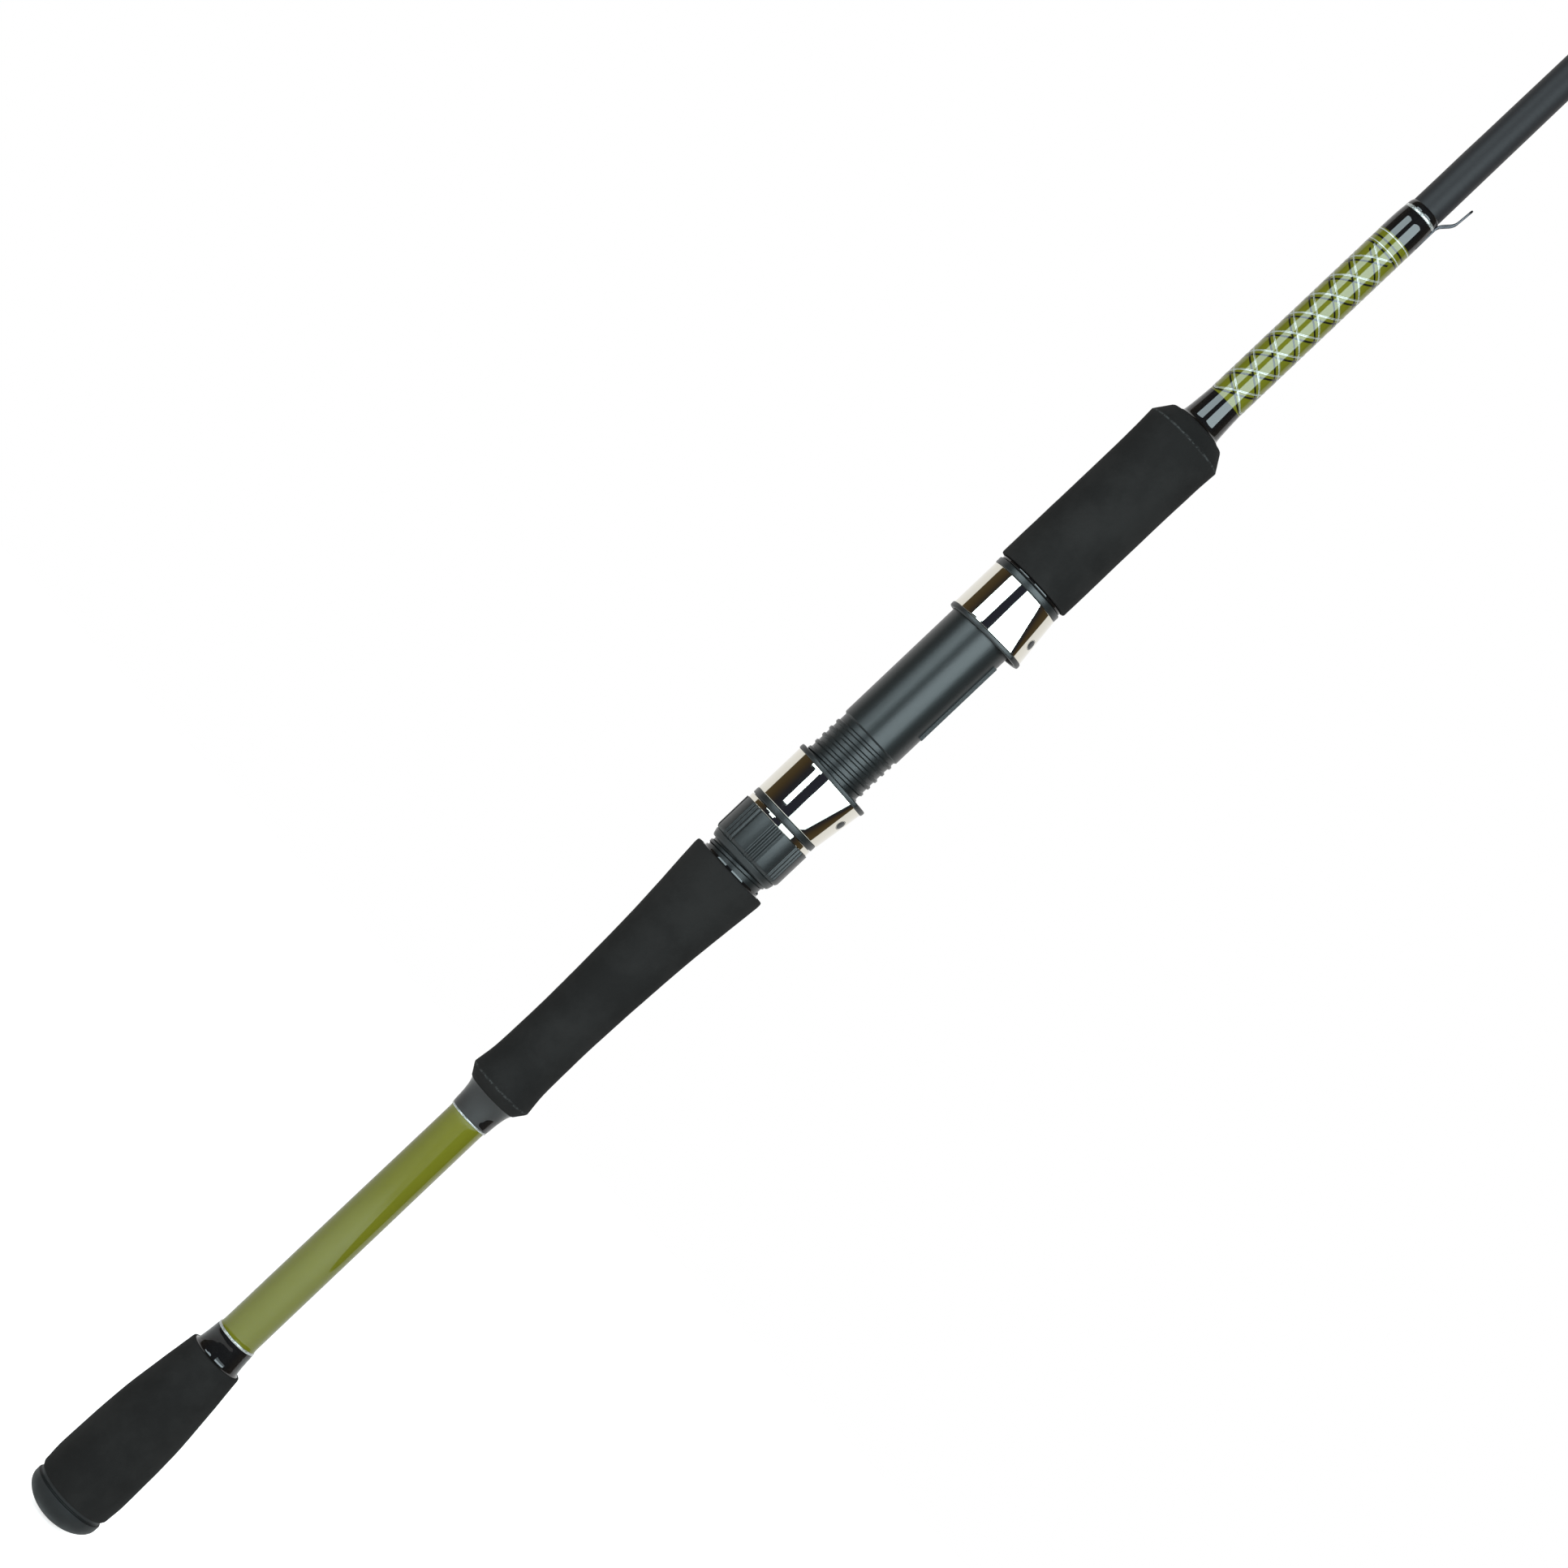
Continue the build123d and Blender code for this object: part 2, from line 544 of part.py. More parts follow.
def guide_leg(index, z, foot):
    """Pressed sheet: a flat foot and a sloping leg, which is forked round the hoop in front."""
    direction, start, end, foot_x = foot
    height = GUIDE_HEIGHTS[index]
    hoop_outer = GUIDE_HOLE_RADII[index] + GUIDE_INSERT_WALL + GUIDE_HOOP_WALL
    forked = direction > 0
    top_x = height if forked else height - hoop_outer + GUIDE_HOOP_WALL / 2
    sheet_x = foot_x + GUIDE_SHEET / 2
    side_view = offset(Polyline((top_x, z), (sheet_x, start), (sheet_x, end)), GUIDE_SHEET / 2, side=Side.BOTH)
    plate = extrude(Plane.XZ * make_face(side_view), hoop_outer, both=True)
    base = Plane.XY.offset(min(z, end) - 2)
    length = abs(end - z) + 4
    leg = plate & extrude(base * Rectangle(4 * height, GUIDE_FOOT_WIDTH), length)
    if forked:
        foot_top = foot_x + GUIDE_SHEET
        outline = tapered_face(foot_top, GUIDE_FOOT_WIDTH / 2, height, hoop_outer)
        fork_x = foot_top + 0.3 * (height - hoop_outer - foot_x)
        fork = tapered_face(fork_x, 0.2, height, hoop_outer - GUIDE_LEG_WIDTH)
        leg += plate & extrude(Plane.XY.offset(z - 2) * outline, start - z + 2)
        leg -= extrude(base * fork, length)
    return leg


def guide_frame(index, z, feet):
    """Steel hoop with a forked front leg and, on the larger guides, a single rear leg."""
    hoop_inner = GUIDE_HOLE_RADII[index] + GUIDE_INSERT_WALL + FIT
    centre = Pos(GUIDE_HEIGHTS[index], 0, z)
    hoop = Cylinder(hoop_inner + GUIDE_HOOP_WALL, GUIDE_HOOP_THICKNESS)
    frame = centre * hoop
    for foot in feet:
        frame += guide_leg(index, z, foot)
    return frame - centre * Cylinder(hoop_inner, 8 * GUIDE_HOOP_THICKNESS)


def guide_wrap(foot, knots):
    """Thread wrap over one foot: round on the blank with a low ridge over the foot."""
    direction, start, end, foot_x = foot
    low, high = sorted((start + direction * GUIDE_WRAP_GAP, end + direction * GUIDE_WRAP_OVERRUN))
    radius = radius_at(knots, low) + GUIDE_WRAP_HEIGHT
    ridge_x = foot_x + GUIDE_SHEET + GUIDE_WRAP_HEIGHT
    ridge_half = GUIDE_FOOT_WIDTH / 2 + 0.15
    ridge = Line((ridge_x, -ridge_half), (ridge_x, ridge_half))
    outline = Curve() + [CenterArc((0, 0), radius, 0, 360), ridge]
    wrap = extrude(Plane.XY.offset(low) * make_hull(outline.edges()), high - low)
    wrap = chamfer(wrap.faces().filter_by(Axis.Z).edges(), 0.25)
    from_axis = (Align.MIN, Align.CENTER, Align.MIN)
    pocket = Box(foot_x + GUIDE_SHEET, GUIDE_FOOT_WIDTH, abs(end - start) + GUIDE_SHEET, align=from_axis)
    pocket = Pos(0, 0, min(start, end) - GUIDE_SHEET / 2) * pocket
    return wrap - blank_core(knots, wide((low, high))) - pocket


def make_guide(index, z):
    """One guide: frame, ceramic ring and thread wraps."""
    knots = BUTT_BLANK_RADII if z < FERRULE_Z else TIP_BLANK_RADII
    feet = guide_feet(index, z, knots)
    frame = guide_frame(index, z, feet)
    wraps = [guide_wrap(foot, knots).solid() for foot in feet]
    name = "guide_" + str(index + 1)
    save(frame, name + "_frame")
    save(guide_insert(GUIDE_HOLE_RADII[index], Pos(GUIDE_HEIGHTS[index], 0, z)), name + "_ring")
    save(Compound(children=wraps), name + "_wraps")


def make_tip_top():
    """End guide: a tube glued on the tip, two side braces and the last ring."""
    low, high = TIP_TUBE_SPAN
    hoop_inner = TIP_HOLE_RADIUS + GUIDE_INSERT_WALL + FIT
    hoop_outer = hoop_inner + GUIDE_HOOP_WALL
    hoop_middle = hoop_inner + GUIDE_HOOP_WALL / 2
    tube_radius = radius_at(TIP_BLANK_RADII, low) + TIP_TUBE_WALL + FIT
    frame = turned([(0, low), (tube_radius, low), (tube_radius, high), (0, high)])
    frame -= blank_core(TIP_BLANK_RADII, (low - 1, TIP_BLANK_TOP))
    hoop = Cylinder(hoop_outer, GUIDE_HOOP_THICKNESS) - Cylinder(hoop_inner, GUIDE_HOOP_THICKNESS)
    frame += Pos(TIP_RING_X, 0, TIP_RING_Z) * hoop
    for side in (-1, 1):
        brace_points = [
            (0.4, side * (tube_radius - 0.2), low + 5),
            (2.6, side * (tube_radius + 0.6), high - 1),
            (TIP_RING_X - 0.3, side * hoop_middle, TIP_RING_Z - 0.2),
        ]
        frame += wire(brace_points, TIP_WIRE_RADIUS, 1.0)
    path = Line((tube_radius - 0.3, 0, low + 4), (TIP_RING_X - hoop_middle, 0, TIP_RING_Z - 0.2))
    frame += sweep(Plane(origin=path @ 0, z_dir=path % 0) * Circle(TIP_WIRE_RADIUS), path=path)
    frame -= Pos(TIP_RING_X, 0, TIP_RING_Z) * Cylinder(hoop_inner, 5)
    frame -= blank_core(TIP_BLANK_RADII, (low - 1, TIP_BLANK_TOP))
    save(frame, "tip_top_frame")
    save(guide_insert(TIP_HOLE_RADIUS, Pos(TIP_RING_X, 0, TIP_RING_Z)), "tip_top_ring")
    wrap_span = (low - 7.0, low - 0.1)
    radii = [radius_at(TIP_BLANK_RADII, z) + GUIDE_WRAP_HEIGHT for z in wrap_span]
    save(sleeve(wrap_span, radii, TIP_BLANK_RADII), "tip_top_wrap")


def make_guides():
    """Guides spaced from the tip with gaps that grow towards the reel."""
    z = TIP_RING_Z
    gap = FIRST_GUIDE_GAP
    for index in reversed(range(GUIDE_COUNT)):
        z -= gap
        gap *= GUIDE_GAP_GROWTH
        make_guide(index, round(z, 1))


# ================================================================ the rod
def make_handle():
    save(make_butt_blank(), "butt_blank")
    save(make_butt_cap(), "butt_cap")
    save(make_rear_grip(), "rear_grip")
    save(sleeve(REAR_COLLAR_SPAN, REAR_COLLAR_RADII), "rear_trim_wrap")
    save(sleeve(REAR_RING_SPAN, (RING_RADII[0], RING_RADII[0])), "rear_silver_ring")
    save(sleeve(PAINT_SPAN, PAINT_RADII), "painted_section")
    save(sleeve(FRONT_RING_SPAN, (RING_RADII[1], RING_RADII[1])), "front_silver_ring")
    save(sleeve(MID_COLLAR_SPAN, MID_COLLAR_RADII), "front_trim_wrap")
    save(make_mid_grip(), "middle_grip")
    save(make_fore_grip(), "fore_grip")


def make_seat():
    save(make_reel_seat(), "reel_seat_body")
    save(make_seat_arbors(), "seat_arbors")
    save(make_lock_nut(), "lock_nut")
    save(make_trim_ring(), "nut_trim_ring")
    make_hoods()
    save(ring(FIXED_RING_SPAN, FIXED_RING_RADIUS, BARREL_RADIUS + FIT), "fixed_hood_ring")
    save(ring(SEAT_WASHER_SPAN, SEAT_WASHER_RADIUS, BARREL_RADIUS + FIT), "seat_end_washer")


def make_wraps():
    keeper = make_hook_keeper()
    save(sleeve(LOWER_WRAP_SPAN, LOWER_WRAP_RADII), "lower_black_wrap")
    save(sleeve(DIAMOND_SPAN, (UNDERWRAP_RADIUS, UNDERWRAP_RADIUS)), "green_underwrap")
    silver_radius = UNDERWRAP_RADIUS + 2 * DIAMOND_THREAD_LAYER
    save(diamond_threads(UNDERWRAP_RADIUS, DIAMOND_SHADOW_SHIFT), "black_diamond_threads")
    save(diamond_threads(silver_radius, 0.0), "silver_diamond_threads")
    save(sleeve(UPPER_WRAP_SPAN, UPPER_WRAP_RADII) - keeper, "upper_black_wrap")
    save(sleeve(WRAP_RING_SPAN, (WRAP_RING_RADIUS, WRAP_RING_RADIUS)) - keeper, "wrap_silver_ring")
    save(sleeve(END_WRAP_SPAN, END_WRAP_RADII) - keeper, "end_black_wrap")
    save(keeper, "hook_keeper")


def make_tip_section():
    save(make_tip_blank(), "tip_blank")
    wrap_radii = [radius_at(TIP_BLANK_RADII, z) + FERRULE_WRAP_HEIGHT for z in FERRULE_WRAP_SPAN]
    band_radii = [radius_at(TIP_BLANK_RADII, z) + FERRULE_WRAP_HEIGHT for z in FERRULE_BAND_SPAN]
    save(sleeve(FERRULE_WRAP_SPAN, wrap_radii, TIP_BLANK_RADII), "ferrule_wrap")
    save(sleeve(FERRULE_BAND_SPAN, band_radii, TIP_BLANK_RADII), "ferrule_silver_band")


make_handle()
make_seat()
make_wraps()
make_tip_section()
make_guides()
make_tip_top()
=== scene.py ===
import json
from math import atan2, cos, degrees, pi, radians, sin, sqrt, tan

import bmesh
import bpy
from mathutils import Matrix, Vector, noise

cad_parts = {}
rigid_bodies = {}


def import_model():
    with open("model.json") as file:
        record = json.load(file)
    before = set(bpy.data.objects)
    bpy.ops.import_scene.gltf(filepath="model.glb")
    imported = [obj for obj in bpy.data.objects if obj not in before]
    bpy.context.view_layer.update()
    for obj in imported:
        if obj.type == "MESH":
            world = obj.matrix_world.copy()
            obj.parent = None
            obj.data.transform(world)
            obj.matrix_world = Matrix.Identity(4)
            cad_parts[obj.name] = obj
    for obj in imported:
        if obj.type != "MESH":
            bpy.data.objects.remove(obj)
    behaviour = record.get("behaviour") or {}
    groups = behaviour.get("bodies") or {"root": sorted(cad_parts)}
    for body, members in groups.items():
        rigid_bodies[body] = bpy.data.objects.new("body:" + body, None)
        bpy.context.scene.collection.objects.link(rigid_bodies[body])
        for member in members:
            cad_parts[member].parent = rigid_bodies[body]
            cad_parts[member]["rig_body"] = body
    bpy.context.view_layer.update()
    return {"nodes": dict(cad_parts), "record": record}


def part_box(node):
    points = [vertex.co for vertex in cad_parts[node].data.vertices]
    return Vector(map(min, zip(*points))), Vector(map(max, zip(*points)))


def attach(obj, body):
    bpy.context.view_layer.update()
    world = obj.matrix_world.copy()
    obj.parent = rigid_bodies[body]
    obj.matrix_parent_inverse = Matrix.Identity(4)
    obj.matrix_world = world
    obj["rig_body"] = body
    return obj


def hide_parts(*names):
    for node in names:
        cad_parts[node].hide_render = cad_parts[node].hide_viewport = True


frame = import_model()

# Looks of a two-piece spinning rod. The rod stands on its butt: +Z runs to the tip and +X is the reel side.
# Outlines are lists of (radius, z) or (radius, z, corner rounding) in millimetres; meshes are in metres.
MM = 0.001
SEGMENTS = 192
NUT_SEGMENTS = 960
HOOD_SEGMENTS = 288
SHARP_ANGLE = radians(40.0)
CORNER_STEPS = 6
CORNER_LIMIT = 0.48  # share of a side that the rounding of a corner may take

# ---------------------------------------------------------------- camera and lights
PHOTO_WIDTH = 1932
AXIS_TILT = radians(43.43)  # the rod's axis above the picture's horizontal
PICTURE_CENTRE = (-8.05, 321.9)  # x and z of the point in the middle of the picture, in millimetres
MM_PER_PIXEL = 0.2519
LENS = 85.0
SENSOR = 36.0
LIGHT_DISTANCE = 1.0  # from the rod's axis, in metres
STRIP_COLOUR = (0.82, 1.0, 1.05)
# (first angle, last angle, lowest height, highest height, radiance). Angles run from the camera towards the
# reel side in degrees, heights are in metres. One soft box is narrower at its lower end, the other dimmer.
STRIPS = [
    (-60.0, -22.0, 0.405, 0.94, 6.4),
    (-41.0, -25.0, 0.31, 0.405, 6.4),
    (3.0, 53.0, 0.32, 0.94, 7.6),
    (3.0, 53.0, 0.15, 0.32, 2.0),
]
FLOOR_X = (-1.8, 0.66)  # metres
FLOOR_Y = (-1.7, 1.8)
FLOOR_Z = -0.0005  # just under the butt
FLOOR_GLOW = 0.3
FLOOR_WHITENING = 0.45  # added for the camera only
# (position from the room in front to the sweep behind, colour)
STUDIO_SHADES = [
    (0.00, (0.022, 0.024, 0.036)),
    (0.22, (0.020, 0.020, 0.024)),
    (0.42, (0.060, 0.042, 0.020)),
    (0.628, (0.085, 0.062, 0.030)),
    (0.642, (0.90, 0.90, 0.88)),
    (1.00, (1.0, 1.0, 1.0)),
]

# ---------------------------------------------------------------- driving sizes of the object
BLANK_TAPER = [(4.0, 7.05), (180.0, 6.80), (610.0, 5.39), (1254.0, 3.45)]  # (z, radius)
FOAM_WAVES = [(0.05, 0.12), (0.02, 0.5)]  # (height, waves per millimetre)
MIDDLE_CREASE = 3.9  # above the middle grip's lower end
FORE_CREASE = 6.4  # below the foregrip's upper end
BEAD_LUMPS = 0.18
BEAD_SEAT_RADIUS = 11.4  # the bead is smooth inside this radius
CAP_DOME_RADIUS = 13.18
CAP_DOME_HEIGHT = 7.4
CAP_DOME_STEPS = 28
CAP_ROUNDNESS = 1.05  # 1 makes the dome an ellipse
SILVER_RING_RISE = 0.22
SEAT_RING_BORE = 11.42
NECK_RING_BORE = 12.0  # of the rings round the nut's neck
HOOD_RADIUS = 12.8
HOOD_BULGE = 2.7
HOOD_BASE_BULGE = 0.3
HOOD_CORNER = 1.6  # radius between the flank and the lobe at the mouth
HOOD_FLANK_END = radians(28.0)
HOOD_LOBE_START = radians(52.0)
HOOD_LENGTH = 18.9
HOOD_RAKE = radians(2.2)
HOOD_RIM = 1.7
HOOD_SHEET = 0.4
HOOD_LINER_WALL = 1.35
NUB_ANGLE = radians(23.0)
NUB_DEPTH = 8.4
NUB_RADIUS = 1.65
NUB_CURVATURE = HOOD_RADIUS - 0.9  # radius of the hood's surface at the nubs
NUB_SEGMENTS = 48
NUT_RIB_GROUPS = 8
NUT_GROOVES_PER_GROUP = 3
NUT_GROOVE_STEP = 7.5  # degrees
NUT_GROOVE_DEPTH = 0.5
NUT_GROUP_START = -48.0  # degrees
NUT_CREASE_Z = 297.9
NUT_GROOVE_END = 12.3  # radius at which the grooves have run out
NUT_GROOVE_FADE = 0.7  # rise in radius from there to full depth
DIAMOND_LEAD = 25.5
DIAMOND_STARTS = 3
DIAMOND_CROSSING = (502.75, radians(-30.0))
DIAMOND_STEP = 0.35
DIAMOND_TOP_MARGIN = 6.0
CLOSING_TURN_STEPS = 120
CLOSING_TURN_OVERLAP = 3
DIAMOND_THICKNESS = 0.06
DIAMOND_START_RISE = 0.004  # each start lies this much higher, so that crossings don't coincide
CLOSING_TURN_THICKNESS = 0.07
CLOSING_TURN_RISE = 0.012
UNDERWRAP_RADIUS = 6.36
KEEPER_CAD_RADIUS = 0.4
KEEPER_RADIUS = 0.38
KEEPER_BEND = 1.5
BEND_STEPS = 8


def span(node):
    """Lower and upper height of a CAD node in millimetres."""
    low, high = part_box(node)
    return low.z / MM, high.z / MM


def blank_radius(z):
    """Outer radius of the blank's lower section at height z."""
    for (z0, r0), (z1, r1) in zip(BLANK_TAPER, BLANK_TAPER[1:]):
        if z <= z1:
            return r0 + (r1 - r0) * (z - z0) / (z1 - z0)
    return BLANK_TAPER[-1][1]


# ================================================================ mesh helpers
def rounded_corner(before, here, after, reach, steps):
    """Curve that replaces the corner at here and reaches towards both neighbours."""
    back, ahead = before - here, after - here
    start = here + back.normalized() * min(reach, CORNER_LIMIT * back.length)
    end = here + ahead.normalized() * min(reach, CORNER_LIMIT * ahead.length)
    turns = [step / steps for step in range(steps + 1)]
    return [start * (1 - t) ** 2 + here * 2 * t * (1 - t) + end * t ** 2 for t in turns]


def filleted(points):
    """Round the corners of an outline; a point's third number is how far the rounding reaches."""
    outline = []
    for index, (radius, z, *reach) in enumerate(points):
        here = Vector((radius, z))
        if not reach or index in (0, len(points) - 1):
            outline.append(tuple(here))
            continue
        before, after = Vector(points[index - 1][:2]), Vector(points[index + 1][:2])
        outline += [tuple(point) for point in rounded_corner(before, here, after, reach[0], CORNER_STEPS)]
    return outline


def flow(points, step=0.8):
    """Smooth curve through (radius, z) points, sampled at about every step of height."""
    slopes = []
    for index in range(len(points)):
        (r0, z0), (r1, z1) = points[max(index - 1, 0)], points[min(index + 1, len(points) - 1)]
        slopes.append((r1 - r0) / (z1 - z0))
    curve = []
    for index in range(len(points) - 1):
        (r0, z0), (r1, z1) = points[index], points[index + 1]
        count = max(2, round((z1 - z0) / step))
        for k in range(count + (index == len(points) - 2)):
            t = k / count
            radius = (2 * t**3 - 3 * t**2 + 1) * r0 + (3 * t**2 - 2 * t**3) * r1
            radius += (z1 - z0) * ((t**3 - 2 * t**2 + t) * slopes[index] + (t**3 - t**2) * slopes[index + 1])
            curve.append((radius, z0 + t * (z1 - z0)))
    return curve


def mesh_object(name, vertices, faces):
    """Smooth-shaded mesh object from millimetre vertices, with edges over the sharp angle kept."""
    mesh = bpy.data.meshes.new(name)
    mesh.from_pydata([Vector(v) * MM for v in vertices], [], faces)
    work = bmesh.new()
    work.from_mesh(mesh)
    bmesh.ops.remove_doubles(work, verts=work.verts, dist=1e-7)
    bmesh.ops.recalc_face_normals(work, faces=work.faces)
    work.to_mesh(mesh)
    work.free()
    mesh.shade_smooth()
    mesh.set_sharp_from_angle(angle=SHARP_ANGLE)
    piece = bpy.data.objects.new(name, mesh)
    bpy.context.scene.collection.objects.link(piece)
    return piece


def grid_faces(rows, columns):
    """Quads of a grid whose rows and columns both close on themselves."""
    faces = []
    for i in range(rows):
        for k in range(columns):
            a = i * columns + k
            b = i * columns + (k + 1) % columns
            c = ((i + 1) % rows) * columns + (k + 1) % columns
            d = ((i + 1) % rows) * columns + k
            faces.append((a, b, c, d))
    return faces


def disc_faces(rows, columns):
    """Quads between open rings, with a cap on the last ring and one on the first."""
    faces = []
    for i in range(rows - 1):
        for k in range(columns):
            a = i * columns + k
            b = i * columns + (k + 1) % columns
            faces.append((a, b, b + columns, a + columns))
    faces.append(tuple((rows - 1) * columns + k for k in range(columns)))
    faces.append(tuple(reversed(range(columns))))
    return faces


def join(parts):
    """Join (vertices, faces) lists."""
    vertices, faces = [], []
    for more, polygons in parts:
        offset = len(vertices)
        vertices += more
        faces += [tuple(index + offset for index in polygon) for polygon in polygons]
    return vertices, faces


def lathe(name, outline, segments=SEGMENTS, shape=None):
    """Closed ring of revolution; shape(radius, angle, z) may change a vertex's radius."""
    vertices = []
    for radius, z in outline:
        for k in range(segments):
            angle = 2 * pi * k / segments
            r = shape(radius, angle, z) if shape else radius
            vertices.append((r * cos(angle), r * sin(angle), z))
    return mesh_object(name, vertices, grid_faces(len(outline), segments))


def on_blank(outer, low, high):
    """Close an outer outline along the blank's surface."""
    return outer + [(blank_radius(high), high), (blank_radius(low), low)]


def stands_for(piece, nodes):
    """The piece takes the place, body, slot and material of CAD nodes that lie on one body."""
    record = frame["record"]
    slots = {part["node"]: part["material_slot"] for part in record["subparts"]}
    body = frame["nodes"][nodes[0]]["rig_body"]
    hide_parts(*nodes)
    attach(piece, body)
    piece.data.materials.append(MATERIALS[slots[nodes[0]]])
    return piece


# ================================================================ materials
def new_material(name, values):
    """Principled material with the given socket values."""
    material = bpy.data.materials.new(name)
    material.use_nodes = True
    shader = material.node_tree.nodes["Principled BSDF"]
    for socket, value in values.items():
        shader.inputs[socket].default_value = value
    return material


def add_node(material, kind, values=(), links=(), **settings):
    """Add a shader node; values are (socket, value) pairs and links (socket, output) pairs."""
    node = material.node_tree.nodes.new(kind)
    for key, value in settings.items():
        setattr(node, key, value)
    for socket, value in values:
        node.inputs[socket].default_value = value
    for socket, output in links:
        material.node_tree.links.new(output, node.inputs[socket])
    return node


def place(material):
    """The point in the object's own frame, in metres."""
    return add_node(material, "ShaderNodeTexCoord").outputs["Object"]


def noise_field(material, scale, detail, roughness=0.5, vector=None):
    """Noise texture whose scale is in cells per metre."""
    node = add_node(
        material,
        "ShaderNodeTexNoise",
        [("Scale", scale), ("Detail", detail), ("Roughness", roughness)],
        [("Vector", vector or place(material))],
    )
    return node.outputs["Fac"]


def stretched(material, factors):
    """The object's own frame scaled per axis, for streaks and strands."""
    node = add_node(material, "ShaderNodeVectorMath", links=[(0, place(material))], operation="MULTIPLY")
    node.inputs[1].default_value = factors
    return node.outputs["Vector"]


def maths(material, operation, first, second=0.0):
    """Math node; each operand is a number or an output."""
    node = add_node(material, "ShaderNodeMath", operation=operation)
    for socket, operand in zip(node.inputs, (first, second)):
        if isinstance(operand, (int, float)):
            socket.default_value = operand
        else:
            material.node_tree.links.new(operand, socket)
    return node.outputs["Value"]


def ramp(material, factor, low, high):
    """Map a factor's range low..high to 0..1, smoothly."""
    values = [("From Min", low), ("From Max", high)]
    node = add_node(material, "ShaderNodeMapRange", values, [("Value", factor)])
    node.interpolation_type = "SMOOTHSTEP"
    return node.outputs["Result"]


def blend_colour(material, factor, first, second):
    """Mix two colours; each is a tuple or an output."""
    node = add_node(material, "ShaderNodeMix", data_type="RGBA")
    material.node_tree.links.new(factor, node.inputs["Factor"])
    for socket, colour in ((node.inputs[6], first), (node.inputs[7], second)):
        if isinstance(colour, tuple):
            socket.default_value = (*colour, 1.0)
        else:
            material.node_tree.links.new(colour, socket)
    return node.outputs[2]


def plug(material, socket, output):
    """Link an output to a socket of the material's shader."""
    shader = material.node_tree.nodes["Principled BSDF"]
    material.node_tree.links.new(output, shader.inputs[socket])


def bump(material, height, distance, strength, below=None):
    """Bump normal from a height; distance is in metres."""
    node = add_node(
        material, "ShaderNodeBump", [("Strength", strength), ("Distance", distance)], [("Height", height)]
    )
    if below:
        material.node_tree.links.new(below, node.inputs["Normal"])
    return node.outputs["Normal"]


def height_z(material):
    """Height along the rod, in metres."""
    node = add_node(material, "ShaderNodeSeparateXYZ", links=[("Vector", place(material))])
    return node.outputs["Z"]


def eva_foam():
    """Closed-cell foam: fine matte grain, slow tone changes, dust specks, and creases painted paler, partly
    as rubbed wear and partly as a painted highlight on the sharp edge.
    """
    material = new_material("eva_foam", {"Roughness": 0.9, "Specular IOR Level": 0.12})
    slow = noise_field(material, 55.0, 4.0, 0.6)
    patches = ramp(material, slow, 0.35, 0.65)
    shade = blend_colour(material, patches, (0.0102, 0.0092, 0.0088), (0.0150, 0.0136, 0.0130))
    cells = add_node(material, "ShaderNodeTexVoronoi", [("Scale", 140.0)], [("Vector", place(material))])
    speck = maths(material, "LESS_THAN", cells.outputs["Distance"], 0.045)
    picked = maths(material, "GREATER_THAN", noise_field(material, 90.0, 0.0), 0.58)
    dust = maths(material, "MULTIPLY", maths(material, "MULTIPLY", speck, picked), 0.35)
    shade = blend_colour(material, dust, shade, (0.05, 0.048, 0.044))
    z = height_z(material)
    # Paler dotted line at each crease: partly rubbed wear, partly a painted highlight on the sharp edge.
    wear_and_highlight = None
    for crease in rubbed_and_highlit_creases():
        near = maths(material, "ABSOLUTE", maths(material, "SUBTRACT", z, crease * MM))
        line = ramp(material, near, 0.00055, 0.00005)
        wear_and_highlight = maths(material, "MAXIMUM", wear_and_highlight, line) if wear_and_highlight else line
    broken = ramp(material, noise_field(material, 900.0, 3.0, 0.7), 0.40, 0.62)
    shade = blend_colour(material, maths(material, "MULTIPLY", wear_and_highlight, broken), shade, (0.045, 0.045, 0.044))
    plug(material, "Base Color", shade)
    grain = bump(material, noise_field(material, 2600.0, 3.0, 0.65), 0.00010, 0.5)
    plug(material, "Normal", bump(material, noise_field(material, 420.0, 3.0, 0.6), 0.00018, 0.35, grain))
    return material


def rubbed_and_highlit_creases():
    """Heights of the grips' sharp edges, which are painted paler as rubbed wear and as a painted highlight,
    in millimetres.
    """
    return [span("fore_grip")[1] - FORE_CREASE, span("middle_grip")[0] + MIDDLE_CREASE]


def cap_rubber():
    """Satin moulded rubber with a faint pebble."""
    material = new_material("cap_rubber", {"Roughness": 0.46, "Specular IOR Level": 0.28})
    slow = noise_field(material, 120.0, 3.0, 0.6)
    shade = blend_colour(material, slow, (0.0070, 0.0070, 0.0072), (0.0100, 0.0100, 0.0103))
    plug(material, "Base Color", shade)
    plug(material, "Roughness", ramp(material, noise_field(material, 200.0, 4.0, 0.6), -1.2, 2.0))
    plug(material, "Normal", bump(material, noise_field(material, 1800.0, 2.0), 0.00006, 0.35))
    return material


def thread_lines(material, pitch, depth, strength):
    """Bump of thread turns lying side by side round the rod."""
    phase = maths(material, "MULTIPLY", height_z(material), 2 * pi / pitch)
    return bump(material, maths(material, "SINE", phase), depth, strength)


def coated(name, values):
    """Material under clear glossy epoxy."""
    layers = {"Coat Weight": 1.0, "Coat Roughness": 0.025, "Coat IOR": 1.52}
    return new_material(name, {**layers, **values})


def black_gloss():
    """Black thread under thick clear epoxy, a little warm where light gets in."""
    material = coated("black_gloss", {"Roughness": 0.45, "Specular IOR Level": 0.04})
    streaks = noise_field(material, 1.0, 2.0, 0.5, stretched(material, (200.0, 200.0, 2500.0)))
    shade = blend_colour(material, streaks, (0.0028, 0.0024, 0.0026), (0.0058, 0.0046, 0.0046))
    plug(material, "Base Color", shade)
    plug(material, "Normal", thread_lines(material, 0.00022, 0.00003, 0.6))
    return material


